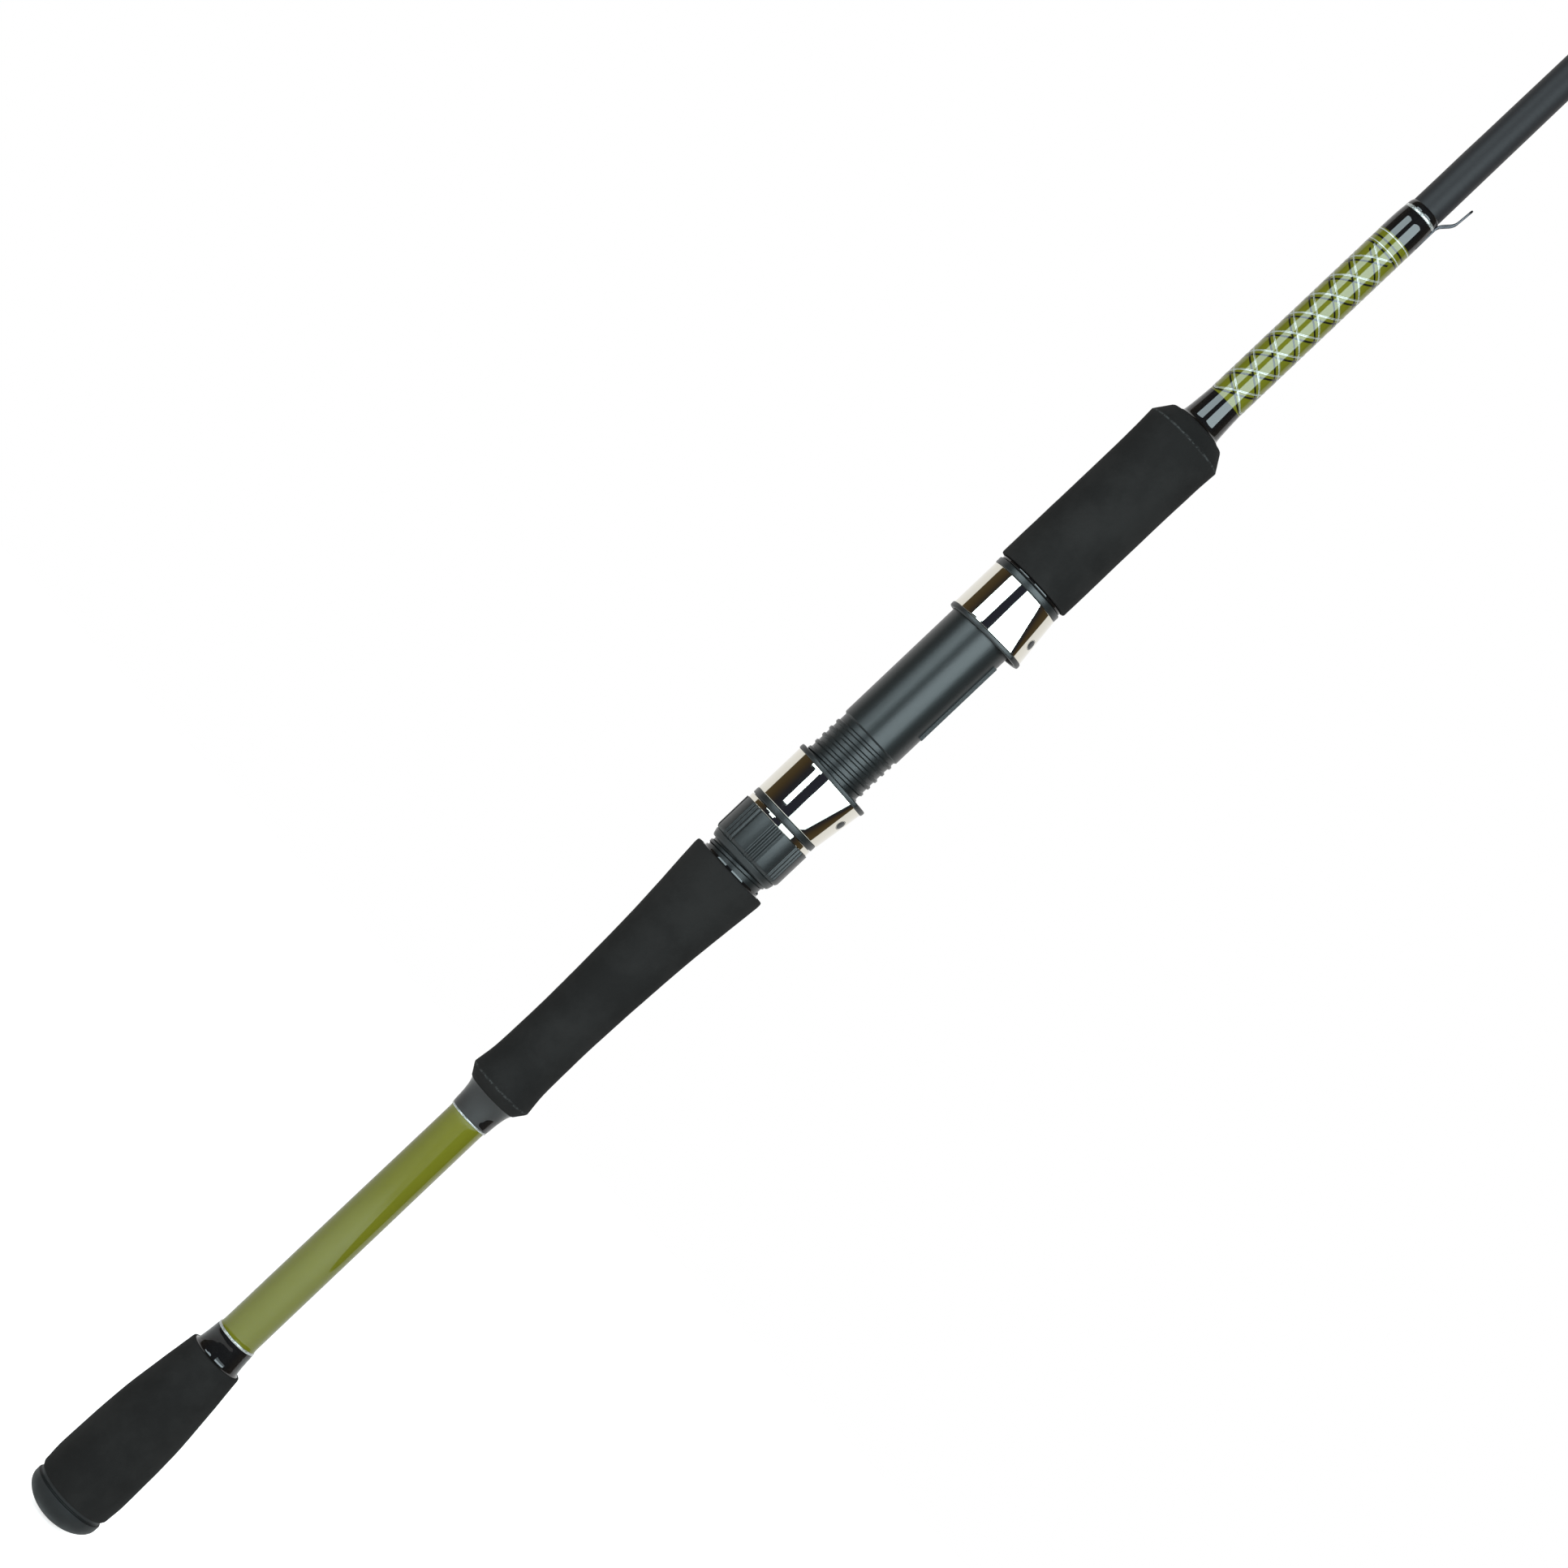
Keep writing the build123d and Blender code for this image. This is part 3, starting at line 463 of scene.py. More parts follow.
def silver_trim():
    """Twisted metallic thread under epoxy: bright with fine glitter."""
    material = coated("silver_trim", {"Roughness": 0.32, "Metallic": 0.55})
    glitter = noise_field(material, 2600.0, 2.0, 0.6)
    flakes = ramp(material, glitter, 0.35, 0.7)
    plug(material, "Base Color", blend_colour(material, flakes, (0.20, 0.20, 0.19), (0.62, 0.62, 0.60)))
    plug(material, "Normal", bump(material, glitter, 0.00012, 0.8))
    return material


def olive(name, pitch):
    """Olive green under gloss; with a pitch it shows thread turns."""
    material = coated(name, {"Roughness": 0.5, "Specular IOR Level": 0.05})
    slow = noise_field(material, 90.0, 4.0, 0.6)
    plug(material, "Base Color", blend_colour(material, slow, (0.108, 0.105, 0.0056), (0.123, 0.119, 0.0066)))
    if pitch:
        plug(material, "Normal", thread_lines(material, pitch, 0.00003, 0.6))
    return material


def strand(name, colour, shade, metallic, specular):
    """Thread of the diamond pattern under epoxy, with a fine twist."""
    material = coated(name, {"Roughness": 0.38, "Metallic": metallic, "Specular IOR Level": specular})
    twist = noise_field(material, 2200.0, 2.0, 0.5)
    plug(material, "Base Color", blend_colour(material, ramp(material, twist, 0.3, 0.7), shade, colour))
    return material


def seat_graphite():
    """Satin slate-coloured moulded nylon."""
    material = new_material("seat_graphite", {"Roughness": 0.33, "Specular IOR Level": 0.40})
    slow = noise_field(material, 260.0, 4.0, 0.65)
    shade = blend_colour(material, slow, (0.0095, 0.0108, 0.0112), (0.0125, 0.0138, 0.0142))
    plug(material, "Base Color", shade)
    plug(material, "Normal", bump(material, noise_field(material, 3800.0, 2.0, 0.6), 0.00004, 0.5))
    return material


def hood_liner():
    """Satin moulded nylon, a little greyer than the seat."""
    material = new_material("hood_liner", {"Roughness": 0.38, "Specular IOR Level": 0.40})
    slow = noise_field(material, 300.0, 3.0, 0.6)
    shade = blend_colour(material, slow, (0.0100, 0.0108, 0.0112), (0.0135, 0.0143, 0.0148))
    plug(material, "Base Color", shade)
    plug(material, "Normal", bump(material, noise_field(material, 3000.0, 2.0), 0.00004, 0.4))
    return material


def bright_nickel():
    """Polished warm-tinted nickel with faint waves and hairline marks."""
    material = new_material("bright_nickel", {"Metallic": 1.0, "Roughness": 0.03})
    slow = noise_field(material, 150.0, 2.0)
    plug(material, "Base Color", blend_colour(material, slow, (0.74, 0.71, 0.64), (0.78, 0.76, 0.69)))
    marks = noise_field(material, 1.0, 4.0, 0.7, stretched(material, (900.0, 900.0, 160.0)))
    plug(material, "Roughness", maths(material, "ADD", maths(material, "MULTIPLY", marks, 0.06), 0.01))
    plug(material, "Normal", bump(material, noise_field(material, 130.0, 1.0), 0.00020, 0.06))
    return material


def blank_slate():
    """Satin clear-coated composite with the faint spiral of the pressing tape."""
    material = new_material("blank_slate", {"Roughness": 0.5, "Specular IOR Level": 0.2})
    slow = noise_field(material, 1.0, 3.0, 0.6, stretched(material, (160.0, 160.0, 25.0)))
    shade = blend_colour(material, slow, (0.0165, 0.0152, 0.0165), (0.0195, 0.0180, 0.0192))
    plug(material, "Base Color", shade)
    tape = thread_lines(material, 0.0022, 0.00003, 0.12)
    plug(material, "Normal", bump(material, noise_field(material, 2400.0, 2.0), 0.00003, 0.3, tape))
    return material


def arbor_foam():
    """Rigid foam bushing with open pores."""
    material = new_material("arbor_foam", {"Roughness": 0.9})
    pores = noise_field(material, 1500.0, 3.0, 0.6)
    plug(material, "Base Color", blend_colour(material, pores, (0.40, 0.36, 0.26), (0.56, 0.52, 0.40)))
    plug(material, "Normal", bump(material, pores, 0.0002, 0.5))
    return material


def dark_steel():
    """Dark chromed stainless wire and sheet."""
    material = new_material("dark_steel", {"Metallic": 0.9, "Roughness": 0.25})
    streaks = noise_field(material, 900.0, 3.0, 0.6)
    shade = blend_colour(material, streaks, (0.050, 0.050, 0.056), (0.085, 0.085, 0.092))
    plug(material, "Base Color", shade)
    plug(material, "Roughness", maths(material, "ADD", maths(material, "MULTIPLY", streaks, 0.2), 0.15))
    return material


def guide_ceramic():
    """Polished dark ceramic."""
    material = new_material("guide_ceramic", {"Roughness": 0.12, "Coat Weight": 0.3})
    slow = noise_field(material, 800.0, 2.0)
    plug(material, "Base Color", blend_colour(material, slow, (0.010, 0.010, 0.012), (0.020, 0.020, 0.023)))
    return material


MATERIALS = {
    "blank_slate": blank_slate(),
    "cap_rubber": cap_rubber(),
    "eva_foam": eva_foam(),
    "black_gloss": black_gloss(),
    "silver_trim": silver_trim(),
    "olive_gloss": olive("olive_gloss", 0.0),
    "olive_wrap": olive("olive_wrap", 0.00025),
    "black_thread": strand("black_thread", (0.005, 0.005, 0.005), (0.003, 0.003, 0.003), 0.0, 0.06),
    "silver_thread": strand("silver_thread", (0.52, 0.53, 0.50), (0.28, 0.285, 0.27), 0.2, 0.5),
    "seat_graphite": seat_graphite(),
    "hood_liner": hood_liner(),
    "arbor_foam": arbor_foam(),
    "bright_nickel": bright_nickel(),
    "dark_steel": dark_steel(),
    "guide_ceramic": guide_ceramic(),
}


# ================================================================ handle
def uneven(radius, angle, z):
    """Slight unevenness of sanded foam."""
    point = Vector((cos(angle) * radius, sin(angle) * radius, z))
    for height, waves in FOAM_WAVES:
        radius += height * noise.noise(point * waves)
    return radius


def make_grips():
    """The three foam grips."""
    low, high = span("rear_grip")
    side = flow([(13.5, low + 0.9), (13.9, low + 8), (13.2, low + 31), (11.6, low + 47), (9.95, high - 0.7)])
    outline = on_blank([(13.0, low)] + side + [(9.8, high - 0.2), (9.4, high)], low, high)
    stands_for(lathe("rear_grip_foam", outline, shape=uneven), ["rear_grip"])

    low, high = span("middle_grip")
    tail = [(9.0, low), (9.3, low + 0.15), (11.5, low + 3.4)]
    side = [(11.7, low + MIDDLE_CREASE), (10.75, low + 12), (10.6, low + 36), (11.96, low + 72)]
    side = flow(side + [(14.17, high - 2)])
    end = [(14.17, high - 0.7), (14.0, high - 0.2), (13.7, high), (11.3, high)]
    pocket = [(11.3, high - 8.0), (blank_radius(high), high - 8.0), (blank_radius(low), low)]
    outline = tail + side + end + pocket
    stands_for(lathe("middle_grip_foam", outline, shape=uneven), ["middle_grip"])

    low, high = span("fore_grip")
    side = flow([(13.8, low + 0.5), (13.72, low + 34), (13.85, low + 56), (14.2, high - 6.6)])
    nose = [(14.22, high - FORE_CREASE), (14.1, high - 6.2), (10.8, high - 1.2), (10.4, high - 0.8)]
    nose += [(7.6, high)]
    outline = on_blank([(13.0, low), (13.6, low + 0.1)] + side + nose, low, high)
    stands_for(lathe("fore_grip_foam", outline, shape=uneven), ["fore_grip"])


def make_cap():
    """Butt cap: domed end, large edge radius, rim, groove and neck."""
    low, high = span("butt_cap")
    rim = high - 1.7
    turns = [pi / 2 * step / CAP_DOME_STEPS for step in range(1, CAP_DOME_STEPS + 1)]
    dome = [
        (CAP_DOME_RADIUS * sin(t) ** CAP_ROUNDNESS, low + CAP_DOME_HEIGHT * (1 - cos(t) ** CAP_ROUNDNESS))
        for t in turns
    ]
    outline = filleted(
        [(0.05, low)]
        + dome
        + [(13.2, rim, 0.35), (12.55, rim + 0.05, 0.15), (12.35, rim + 0.3, 0.12), (12.7, rim + 0.6, 0.2)]
        + [(12.7, high), (7.07, high), (7.07, low + 4.0), (0.05, low + 4.0)]
    )
    stands_for(lathe("butt_cap_rubber", outline), ["butt_cap"])


def make_collars():
    """Black trim wraps with their epoxy run up against the foam."""
    low, high = span("rear_trim_wrap")
    outer = [(9.0, low + 0.02), (8.62, low + 0.25), (8.36, low + 0.8), (8.16, low + 1.9)]
    outer += [(7.95, low + 3.6), (7.75, low + 5.6), (7.62, low + 7.2), (7.5, high)]
    stands_for(lathe("rear_collar", on_blank(flowing(outer), low, high)), ["rear_trim_wrap"])

    low, high = span("front_trim_wrap")
    outer = [(7.28, low), (7.36, low + 0.5), (7.5, low + 2.6), (7.72, low + 5.0)]
    outer += [(8.05, low + 7.0), (8.5, low + 8.6), (8.9, high - 0.02)]
    stands_for(lathe("front_collar", on_blank(flowing(outer), low, high)), ["front_trim_wrap"])

    low, high = span("lower_black_wrap")
    outer = [(8.0, low + 0.02), (7.45, low + 0.5), (7.18, low + 1.3), (6.95, low + 3.2)]
    outer += [(6.72, low + 6.0), (6.52, low + 8.8), (6.40, high)]
    stands_for(lathe("lower_wrap_epoxy", on_blank(flowing(outer), low, high)), ["lower_black_wrap"])

    low, high = span("upper_black_wrap")
    outer = [(6.40, low), (6.41, low + 1.5), (6.39, low + 4.0), (6.30, low + 7.0), (6.08, high)]
    stands_for(lathe("upper_wrap_epoxy", on_blank(flowing(outer), low, high)), ["upper_black_wrap"])

    low, high = span("end_black_wrap")
    outer = [(6.02, low), (6.0, low + 0.5), (5.9, low + 1.2), (5.72, high - 0.4), (5.5, high - 0.02)]
    stands_for(lathe("end_wrap_epoxy", on_blank(flowing(outer), low, high)), ["end_black_wrap"])


def flowing(outer):
    """Fine smooth curve for an epoxy surface."""
    return flow(outer, 0.25)


def make_rings():
    """Silver rings of metallic thread, half round."""
    for node, radius in (("rear_silver_ring", 7.52), ("front_silver_ring", 7.32), ("wrap_silver_ring", 6.12)):
        low, high = span(node)
        middle, half = (low + high) / 2, (high - low) / 2
        sunk = radius - SILVER_RING_RISE
        turns = [pi * step / 10 for step in range(11)]
        outer = [(sunk + SILVER_RING_RISE * sin(turn), middle - half * cos(turn)) for turn in turns]
        stands_for(lathe(node + "_thread", on_blank(outer, low, high)), [node])


def make_paint():
    """Gloss painted stretch of the blank between the silver rings."""
    low, high = span("painted_section")
    outer = [(7.22, low), (7.12, low + 0.7), (7.07, low + 1.6)]
    outer += [(7.0, (low + high) / 2), (6.9, high - 1.2), (7.0, high)]
    stands_for(lathe("painted_blank", on_blank(flow(outer, 1.5), low, high)), ["painted_section"])


def make_bead():
    """Black glue bead squeezed out between the middle grip and the seat."""
    high = span("middle_grip")[1]

    def lumpy(radius, angle, z):
        if radius <= BEAD_SEAT_RADIUS:
            return radius
        return radius + BEAD_LUMPS * noise.noise(Vector((3 * cos(angle), 3 * sin(angle), z)))

    outline = [(11.2, high - 0.3), (12.1, high - 0.05), (12.0, high + 0.12), (11.7, high + 0.24)]
    outline += [(11.36, high + 0.31), (11.34, high + 0.6), (11.28, high + 0.8), (11.2, high + 0.8)]
    bead = lathe("seat_glue_bead", filleted(outline), shape=lumpy)
    bead.data.materials.append(MATERIALS["black_gloss"])
    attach(bead, frame["nodes"]["middle_grip"]["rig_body"])


# ================================================================ reel seat
def make_seat_rings():
    """Turned rings of the seat with rounded edges."""
    for node, inner, outer, rounding in (
        ("nut_trim_ring", NECK_RING_BORE, 12.82, 0.28),
        ("moving_hood_collar", NECK_RING_BORE, 12.85, 0.45),
        ("fixed_hood_ring", SEAT_RING_BORE, 13.0, 0.5),
        ("seat_end_washer", SEAT_RING_BORE, 12.5, 0.6),
    ):
        low, high = span(node)
        points = [(inner, low), (outer, low, rounding), (outer, high, rounding), (inner, high)]
        stands_for(lathe(node + "_piece", filleted(points)), [node])


def ribbed(radius, angle, z):
    """Soft grooves in groups, which run out where the nut narrows."""
    half = NUT_GROOVE_STEP / 2
    along = (degrees(angle) - NUT_GROUP_START + half) % (360 / NUT_RIB_GROUPS) - half
    if z < NUT_CREASE_Z or along > (NUT_GROOVES_PER_GROUP - 1) * NUT_GROOVE_STEP + half:
        return radius
    fade = min(1.0, max(0.0, (radius - NUT_GROOVE_END) / NUT_GROOVE_FADE))
    return radius - fade * NUT_GROOVE_DEPTH * (0.5 + 0.5 * cos(2 * pi * along / NUT_GROOVE_STEP))


def make_nut():
    """Lock nut with soft ribs, a sloping collar and the neck that turns inside the hood."""
    low, high = span("lock_nut")
    shoulder = span("nut_trim_ring")[0]
    outline = filleted([
        (11.4, low),
        (11.7, low, 0.2),
        (12.15, low + 0.6, 0.35),
        (12.6, NUT_CREASE_Z - 0.25, 0.15),
        (12.35, NUT_CREASE_Z, 0.08),
        (12.8, NUT_CREASE_Z + 0.2, 0.12),
        (13.25, NUT_CREASE_Z + 1.0, 0.4),
        (13.25, shoulder, 0.15),
        (11.95, shoulder),
        (11.95, high - 0.75),
        (12.2, high - 0.75),
        (12.2, high - 0.3),
        (11.95, high),
        (11.4, high),
    ])
    stands_for(lathe("lock_nut_ribbed", outline, segments=NUT_SEGMENTS, shape=ribbed), ["lock_nut"])


def hood_side(facing, bulge):
    """Point (x, y) of a hood's outline on the reel side where the surface faces the given angle from -Y.

    The outline is three arcs: a flat flank, a tight corner and a lobe round the pocket for the reel foot.
    """
    corner = max(HOOD_RADIUS + (HOOD_CORNER - HOOD_RADIUS) * bulge / HOOD_BULGE, 0.8 * HOOD_CORNER)
    s1, s2 = sin(HOOD_FLANK_END), sin(HOOD_LOBE_START)
    c1, c2 = cos(HOOD_FLANK_END), cos(HOOD_LOBE_START)
    right = HOOD_RADIUS + bulge - corner * (s2 - s1)
    below = HOOD_RADIUS - corner * (c1 - c2)
    scale = s1 * c2 - (1 - s2) * (1 - c1)
    flank = (right * c2 - (1 - s2) * below) / scale
    lobe = (s1 * below - (1 - c1) * right) / scale
    x, y = 0.0, -HOOD_RADIUS
    for arc, first, last in (
        (flank, 0.0, HOOD_FLANK_END),
        (corner, HOOD_FLANK_END, HOOD_LOBE_START),
        (lobe, HOOD_LOBE_START, pi / 2),
    ):
        reach = min(max(facing, first), last)
        x += arc * (sin(reach) - sin(first))
        y += arc * (cos(first) - cos(reach))
    return x, y


def hood_point(direction, offset, depth, mouth, way):
    """Point of a hood whose outward direction is given; depth runs from the mouth to the base."""
    bulge = HOOD_BULGE - (HOOD_BULGE - HOOD_BASE_BULGE) * depth / HOOD_LENGTH
    c, s = cos(direction), sin(direction)
    x, y = HOOD_RADIUS * c, HOOD_RADIUS * s
    if c > 0:
        x, y = hood_side(pi / 2 - abs(atan2(s, c)), bulge)
        if s > 0:
            y = -y
    x, y = x + offset * c, y + offset * s
    rake = x * tan(HOOD_RAKE) * (1 - depth / HOOD_LENGTH)
    return (x, y, mouth - way * (depth + rake))


def hood_shell(profile, mouth, way):
    """Closed shell of a hood from a closed (offset, depth) profile; way is 1 if it opens upwards."""
    vertices = [
        hood_point(2 * pi * k / HOOD_SEGMENTS, offset, depth, mouth, way)
        for offset, depth in profile
        for k in range(HOOD_SEGMENTS)
    ]
    return vertices, grid_faces(len(profile), HOOD_SEGMENTS)


def hood_nub(rings, side, mouth, way):
    """Round nub on the hood's surface from (radius, height) rings, outermost first."""
    vertices = []
    for radius, height in rings:
        for k in range(NUB_SEGMENTS):
            turn = 2 * pi * k / NUB_SEGMENTS
            direction = side * NUB_ANGLE + radius * sin(turn) / NUB_CURVATURE
            vertices.append(hood_point(direction, height, NUB_DEPTH + radius * cos(turn), mouth, way))
    return vertices, disc_faces(len(rings), NUB_SEGMENTS)


def make_hood(which, mouth, way, base_depth):
    """Bright cover and moulded liner of one hood."""
    cover = filleted([
        (-HOOD_SHEET, HOOD_RIM + 0.02),
        (0.0, HOOD_RIM + 0.02, 0.12),
        (0.0, 4.0),
        (0.0, 8.0),
        (0.0, 12.0),
        (0.0, 16.0),
        (0.0, HOOD_LENGTH - 0.02, 0.22),
        (-HOOD_SHEET, HOOD_LENGTH - 0.02),
        (-HOOD_SHEET, 10.0),
    ])
    stands_for(mesh_object(which + "_hood_shell", *hood_shell(cover, mouth, way)), [which + "_hood_cover"])

    wall = -HOOD_LINER_WALL
    liner = filleted([
        (wall, 5.0),
        (wall, 0.0, 0.35),
        (0.3, 0.0, 0.7),
        (0.3, HOOD_RIM, 0.35),
        (-HOOD_SHEET - 0.02, HOOD_RIM),
        (-HOOD_SHEET - 0.02, 9.0),
        (-HOOD_SHEET - 0.02, base_depth),
        (wall, base_depth),
    ])
    # The nub's outer rings lie on the cover as a dark ring of liner round the dome. It stands for the gap
    # round the nub: painted shade of the recess, in the liner's own colour.
    nub_and_shade_ring = [(NUB_RADIUS + 0.22, -0.1), (NUB_RADIUS + 0.2, 0.02), (NUB_RADIUS + 0.05, 0.02)]
    nub_and_shade_ring += [(NUB_RADIUS - 0.02, -0.06), (NUB_RADIUS - 0.1, 0.02), (NUB_RADIUS - 0.3, 0.07)]
    nub_and_shade_ring += [(NUB_RADIUS - 0.8, 0.10), (0.3, 0.11)]
    parts = [hood_shell(liner, mouth, way)] + [hood_nub(nub_and_shade_ring, side, mouth, way) for side in (-1, 1)]
    stands_for(mesh_object(which + "_hood_moulding", *join(parts)), [which + "_hood_liner"])


# ================================================================ decorative wrap
def make_underwrap():
    """Olive thread wrap under the diamonds."""
    low, high = span("green_underwrap")
    outer = [(UNDERWRAP_RADIUS, z) for z in (low, low + 18, low + 36, low + 54, high)]
    stands_for(lathe("olive_underwrap", on_blank(outer, low, high)), ["green_underwrap"])


def ribbon(path, width, top, thickness):
    """Flat ribbon lying round the rod along (angle, z) points; its top keeps the given radius."""
    foot = top - thickness
    corners = [(-0.5, top), (-0.17, top), (0.17, top), (0.5, top), (0.5, foot), (-0.5, foot)]
    vertices = []
    for index, (angle, z) in enumerate(path):
        before, after = path[max(index - 1, 0)], path[min(index + 1, len(path) - 1)]
        along = Vector(((after[0] - before[0]) * top, after[1] - before[1])).normalized()
        across = Vector((-along.y, along.x))
        for side, radius in corners:
            shift = across * width * side
            a = angle + shift.x / top
            vertices.append((radius * cos(a), radius * sin(a), z + shift.y))
    columns = len(corners)
    faces = []
    for i in range(len(path) - 1):
        for k in range(columns):
            a, b = i * columns + k, i * columns + (k + 1) % columns
            faces.append((a, b, b + columns, a + columns))
    faces.append(tuple(reversed(range(columns))))
    faces.append(tuple((len(path) - 1) * columns + k for k in range(columns)))
    return vertices, faces


def diamond_path(start, crossing_z, turn_radius, shift, reach):
    """One thread: down one helix, round a small turn and up the other helix."""
    step = DIAMOND_STEP
    count = round(reach / step)
    angle = DIAMOND_CROSSING[1] + start * 2 * pi / DIAMOND_STARTS
    return [
        (
            angle + 2 * pi * k * step / DIAMOND_LEAD,
            crossing_z + shift + sqrt((k * step) ** 2 + turn_radius ** 2),
        )
        for k in range(-count, count + 1)
    ]


def closing_turn(z):
    """One turn of thread round the rod that closes the pattern; its ends overlap."""
    count = CLOSING_TURN_STEPS + CLOSING_TURN_OVERLAP
    return [(2 * pi * k / CLOSING_TURN_STEPS, z) for k in range(count + 1)]


def make_diamonds():
    """Silver and black threads that cross in diamonds, and the turns that close the pattern."""
    top = span("green_underwrap")[1]
    crossing = DIAMOND_CROSSING[0]
    reach = top - crossing - DIAMOND_TOP_MARGIN
    for node, name, radius, drop, turn_radius, strands, bands in (
        ("black_diamond_threads", "black_strands", UNDERWRAP_RADIUS + 0.022, 2.0, 2.35,
         [(-0.17, 0.30), (0.19, 0.28)], [(5.9, 0.6), (3.0, 0.6)]),
        ("silver_diamond_threads", "silver_strands", UNDERWRAP_RADIUS + 0.05, 0.0, 0.7,
         [(-0.2, 0.20), (0.21, 0.13)], [(4.9, 0.3), (0.6, 0.32)]),
    ):
        parts = []
        for start in range(DIAMOND_STARTS):
            for shift, width in strands:
                path = diamond_path(start, crossing - drop, turn_radius, shift, reach)
                parts.append(ribbon(path, width, radius + DIAMOND_START_RISE * start, DIAMOND_THICKNESS))
        for below_top, width in bands:
            turn = closing_turn(top - below_top)
            parts.append(ribbon(turn, width, radius + CLOSING_TURN_RISE, CLOSING_TURN_THICKNESS))
        stands_for(mesh_object(name, *join(parts)), [node])


# ================================================================ hook keeper
def tube(name, points, radius, corner):
    """Round wire along (x, y, z) points with rounded corners."""
    route = []
    for index, point in enumerate(points):
        here = Vector(point)
        if index in (0, len(points) - 1):
            route.append(here)
            continue
        before, after = Vector(points[index - 1]), Vector(points[index + 1])
        route += rounded_corner(before, here, after, corner, BEND_STEPS)
    curve = bpy.data.curves.new(name, "CURVE")
    curve.dimensions = "3D"
    curve.bevel_depth = radius * MM
    curve.bevel_resolution = 6
    curve.use_fill_caps = True
    spline = curve.splines.new("POLY")
    spline.points.add(len(route) - 1)
    for target, point in zip(spline.points, route):
        target.co = (*(point * MM), 1.0)
    scratch = bpy.data.objects.new(name + "_route", curve)
    mesh = bpy.data.meshes.new_from_object(scratch)
    mesh.name = name
    mesh.shade_smooth()
    bpy.data.objects.remove(scratch)
    piece = bpy.data.objects.new(name, mesh)
    bpy.context.scene.collection.objects.link(piece)
    return piece


def make_keeper():
    """Wire hairpin whose feet lie under the wrap."""
    low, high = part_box("hook_keeper")
    half = high.y / MM - KEEPER_CAD_RADIUS
    foot_z, end_z = low.z / MM, high.z / MM - KEEPER_CAD_RADIUS
    foot_x = low.x / MM + KEEPER_CAD_RADIUS
    loop_x = high.x / MM - KEEPER_CAD_RADIUS
    side = [(foot_x, foot_z), (foot_x, end_z - 11.0), (loop_x - 0.45, end_z - 7.0), (loop_x, end_z)]
    points = [(x, -half, z) for x, z in side] + [(x, half, z) for x, z in reversed(side)]
    stands_for(tube("keeper_wire", points, KEEPER_RADIUS, KEEPER_BEND), ["hook_keeper"])


# ================================================================ stage
def finish_cad_nodes():
    """Give every CAD node the material of its slot; pieces made later take the place of some."""
    for part in frame["record"]["subparts"]:
        node = frame["nodes"][part["node"]]
        node.data.materials.clear()
        node.data.materials.append(MATERIALS[part["material_slot"]])


def make_camera():
    """Long-lens camera level with the handle, rolled so that the rod lies across the picture."""
    camera = bpy.data.cameras.new("camera")
    camera.lens = LENS
    camera.sensor_width = SENSOR
    camera.clip_start = 0.05
    camera.clip_end = 50.0
    distance = LENS / SENSOR * PHOTO_WIDTH * MM_PER_PIXEL * MM
    right = Vector((sin(AXIS_TILT), 0.0, cos(AXIS_TILT)))
    up = Vector((-cos(AXIS_TILT), 0.0, sin(AXIS_TILT)))
    back = Vector((0.0, -1.0, 0.0))
    x, z = PICTURE_CENTRE
    turn = Matrix((right, up, back)).transposed().to_4x4()
    holder = bpy.data.objects.new("camera", camera)
    holder.matrix_world = Matrix.Translation((x * MM, -distance, z * MM)) @ turn
    bpy.context.scene.collection.objects.link(holder)
    bpy.context.scene.camera = holder


def make_strip_light(name, first_angle, last_angle, low, high, radiance):
    """Soft box parallel to the rod that spans the given angles round it."""
    first, last = radians(first_angle), radians(last_angle)
    middle, half = (first + last) / 2, (last - first) / 2
    light = bpy.data.lights.new(name, "AREA")
    light.shape = "RECTANGLE"
    light.size = 2 * LIGHT_DISTANCE * tan(half)
    light.size_y = high - low
    light.energy = radiance * pi * light.size * light.size_y
    light.color = STRIP_COLOUR
    outward = Vector((sin(middle), -cos(middle), 0.0))
    upright = Vector((0.0, 0.0, 1.0))
    turn = Matrix((upright.cross(outward), upright, outward)).transposed().to_4x4()
    holder = bpy.data.objects.new(name, light)
    centre = outward * LIGHT_DISTANCE + upright * (low + high) / 2
    holder.matrix_world = Matrix.Translation(centre) @ turn
    holder.visible_camera = False
    bpy.context.scene.collection.objects.link(holder)


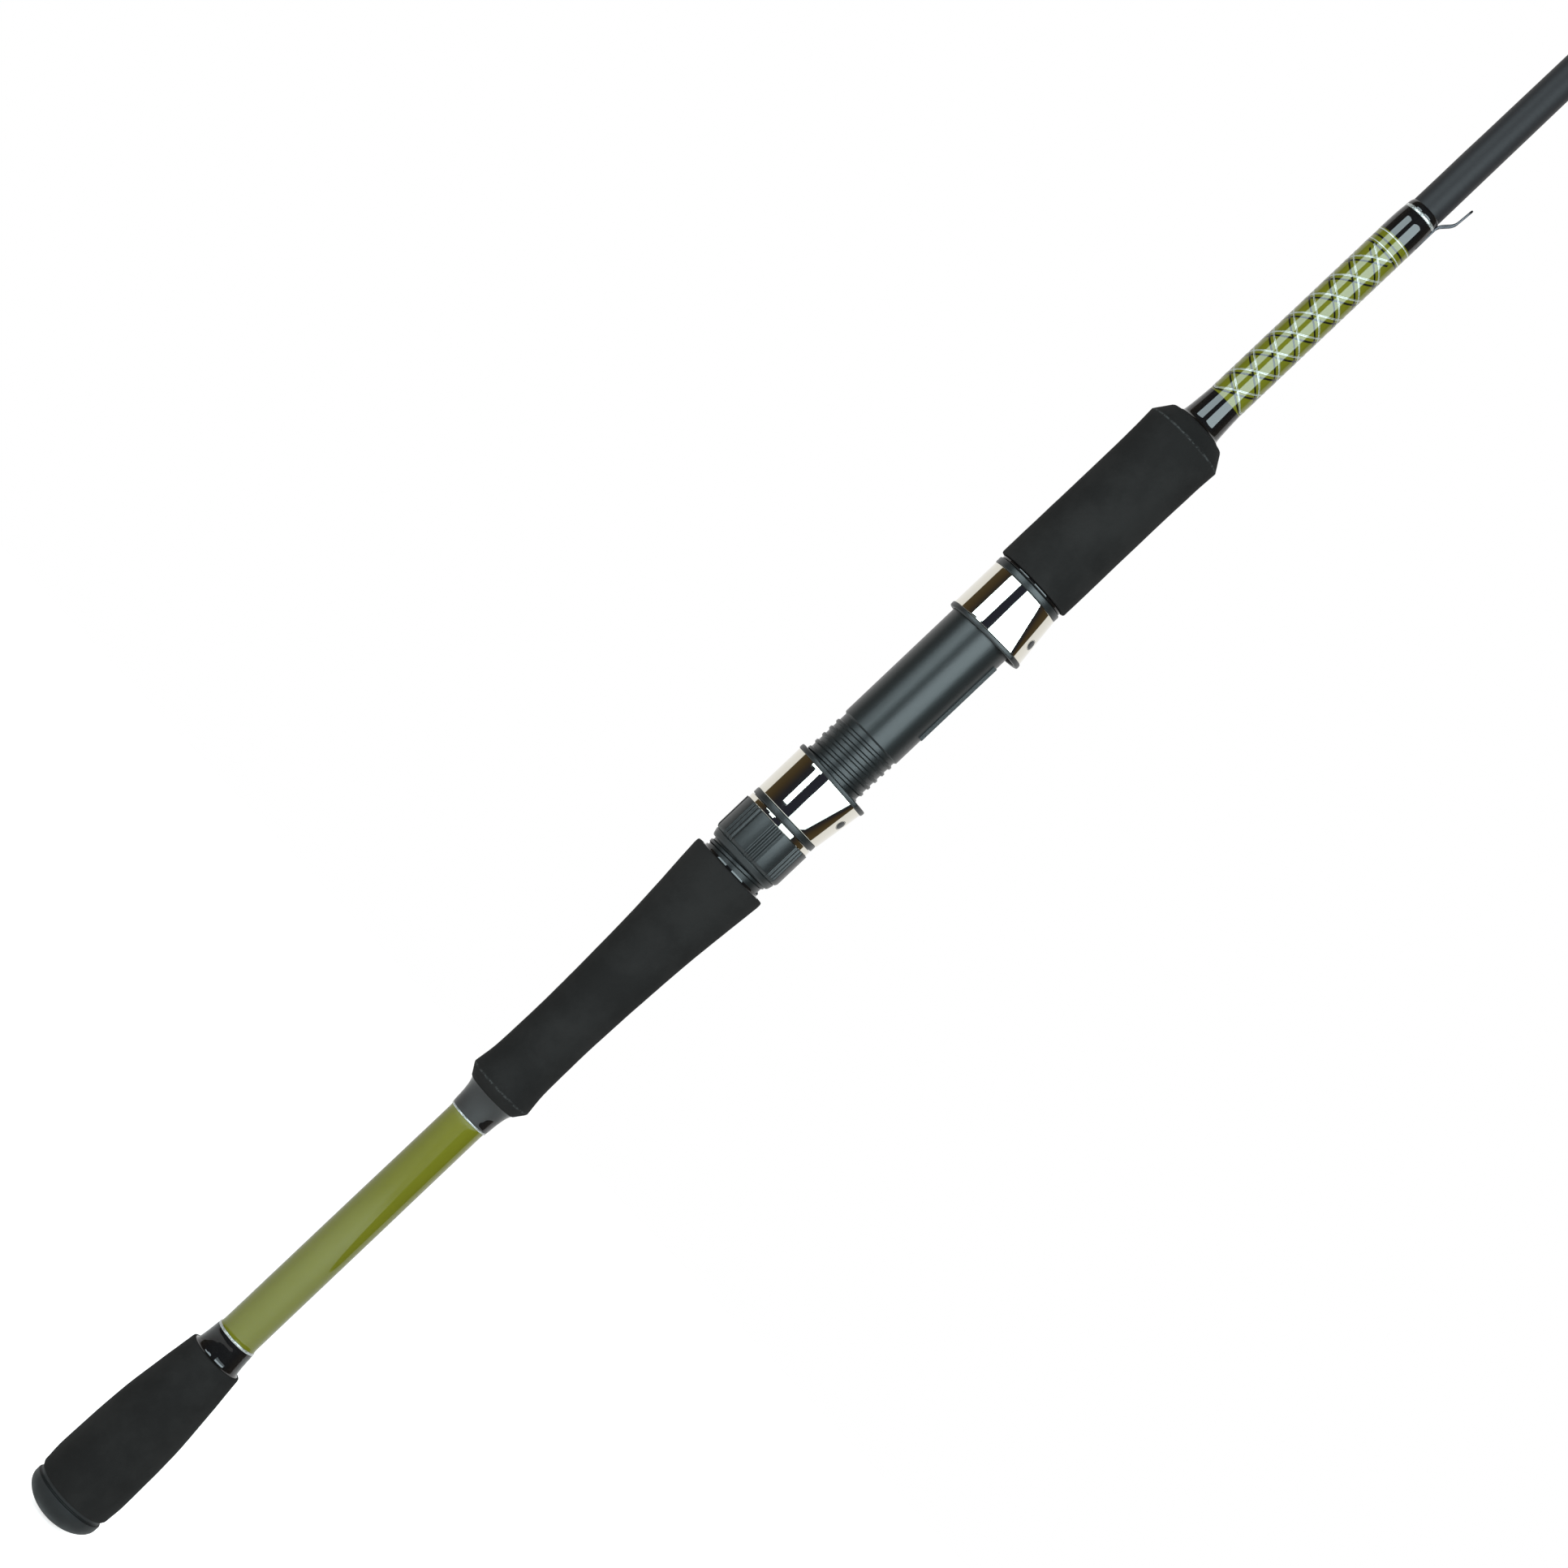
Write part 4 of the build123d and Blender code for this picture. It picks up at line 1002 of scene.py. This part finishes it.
def make_world():
    """White studio: bright sweep behind the rod, a dim room in front, plain white for the camera."""
    world = bpy.data.worlds.new("studio")
    bpy.context.scene.world = world
    world.use_nodes = True
    nodes, links = world.node_tree.nodes, world.node_tree.links
    direction = nodes.new("ShaderNodeTexCoord")
    split = nodes.new("ShaderNodeSeparateXYZ")
    links.new(direction.outputs["Generated"], split.inputs[0])
    remap = nodes.new("ShaderNodeMapRange")
    remap.inputs["From Min"].default_value = -1.0
    links.new(split.outputs["Y"], remap.inputs["Value"])
    shades = nodes.new("ShaderNodeValToRGB")
    band = shades.color_ramp
    band.elements[0].position = STUDIO_SHADES[0][0]
    band.elements[1].position = STUDIO_SHADES[-1][0]
    for position, _ in STUDIO_SHADES[1:-1]:
        band.elements.new(position)
    for element, (_, colour) in zip(band.elements, STUDIO_SHADES):
        element.color = (*colour, 1.0)
    links.new(remap.outputs["Result"], shades.inputs["Fac"])
    rays = nodes.new("ShaderNodeLightPath")
    pick = nodes.new("ShaderNodeMix")
    pick.data_type = "RGBA"
    links.new(rays.outputs["Is Camera Ray"], pick.inputs["Factor"])
    links.new(shades.outputs["Color"], pick.inputs[6])
    pick.inputs[7].default_value = (1.0, 1.0, 1.0, 1.0)
    links.new(pick.outputs[2], nodes["Background"].inputs["Color"])


def make_floor():
    """Plain pale floor, bright enough to read as white."""
    (left, right), (front, back) = FLOOR_X, FLOOR_Y
    corners = [(x, y, FLOOR_Z) for x, y in ((left, front), (right, front), (right, back), (left, back))]
    mesh = bpy.data.meshes.new("floor")
    mesh.from_pydata(corners, [], [(0, 1, 2, 3)])
    floor = bpy.data.objects.new("floor", mesh)
    bpy.context.scene.collection.objects.link(floor)
    material = new_material("floor_paper", {"Base Color": (0.85, 0.85, 0.84, 1.0), "Roughness": 0.9})
    shader = material.node_tree.nodes["Principled BSDF"]
    shader.inputs["Emission Color"].default_value = (1.0, 1.0, 0.99, 1.0)
    rays = add_node(material, "ShaderNodeLightPath")
    whitening = maths(material, "MULTIPLY", rays.outputs["Is Camera Ray"], FLOOR_WHITENING)
    plug(material, "Emission Strength", maths(material, "ADD", whitening, FLOOR_GLOW))
    floor.data.materials.append(material)


make_camera()
for number, strip in enumerate(STRIPS):
    make_strip_light("strip_light_" + str(number + 1), *strip)
make_world()
make_floor()
finish_cad_nodes()
make_grips()
make_cap()
make_collars()
make_rings()
make_paint()
make_bead()
make_seat_rings()
make_nut()
MOVING_MOUTH = span("moving_hood_cover")[0] + HOOD_LENGTH
FIXED_MOUTH = span("fixed_hood_cover")[1] - HOOD_LENGTH
make_hood("moving", MOVING_MOUTH, 1, MOVING_MOUTH - span("moving_hood_liner")[0])
make_hood("fixed", FIXED_MOUTH, -1, HOOD_LENGTH)
make_underwrap()
make_diamonds()
make_keeper()
bpy.context.scene.view_settings.view_transform = "Standard"
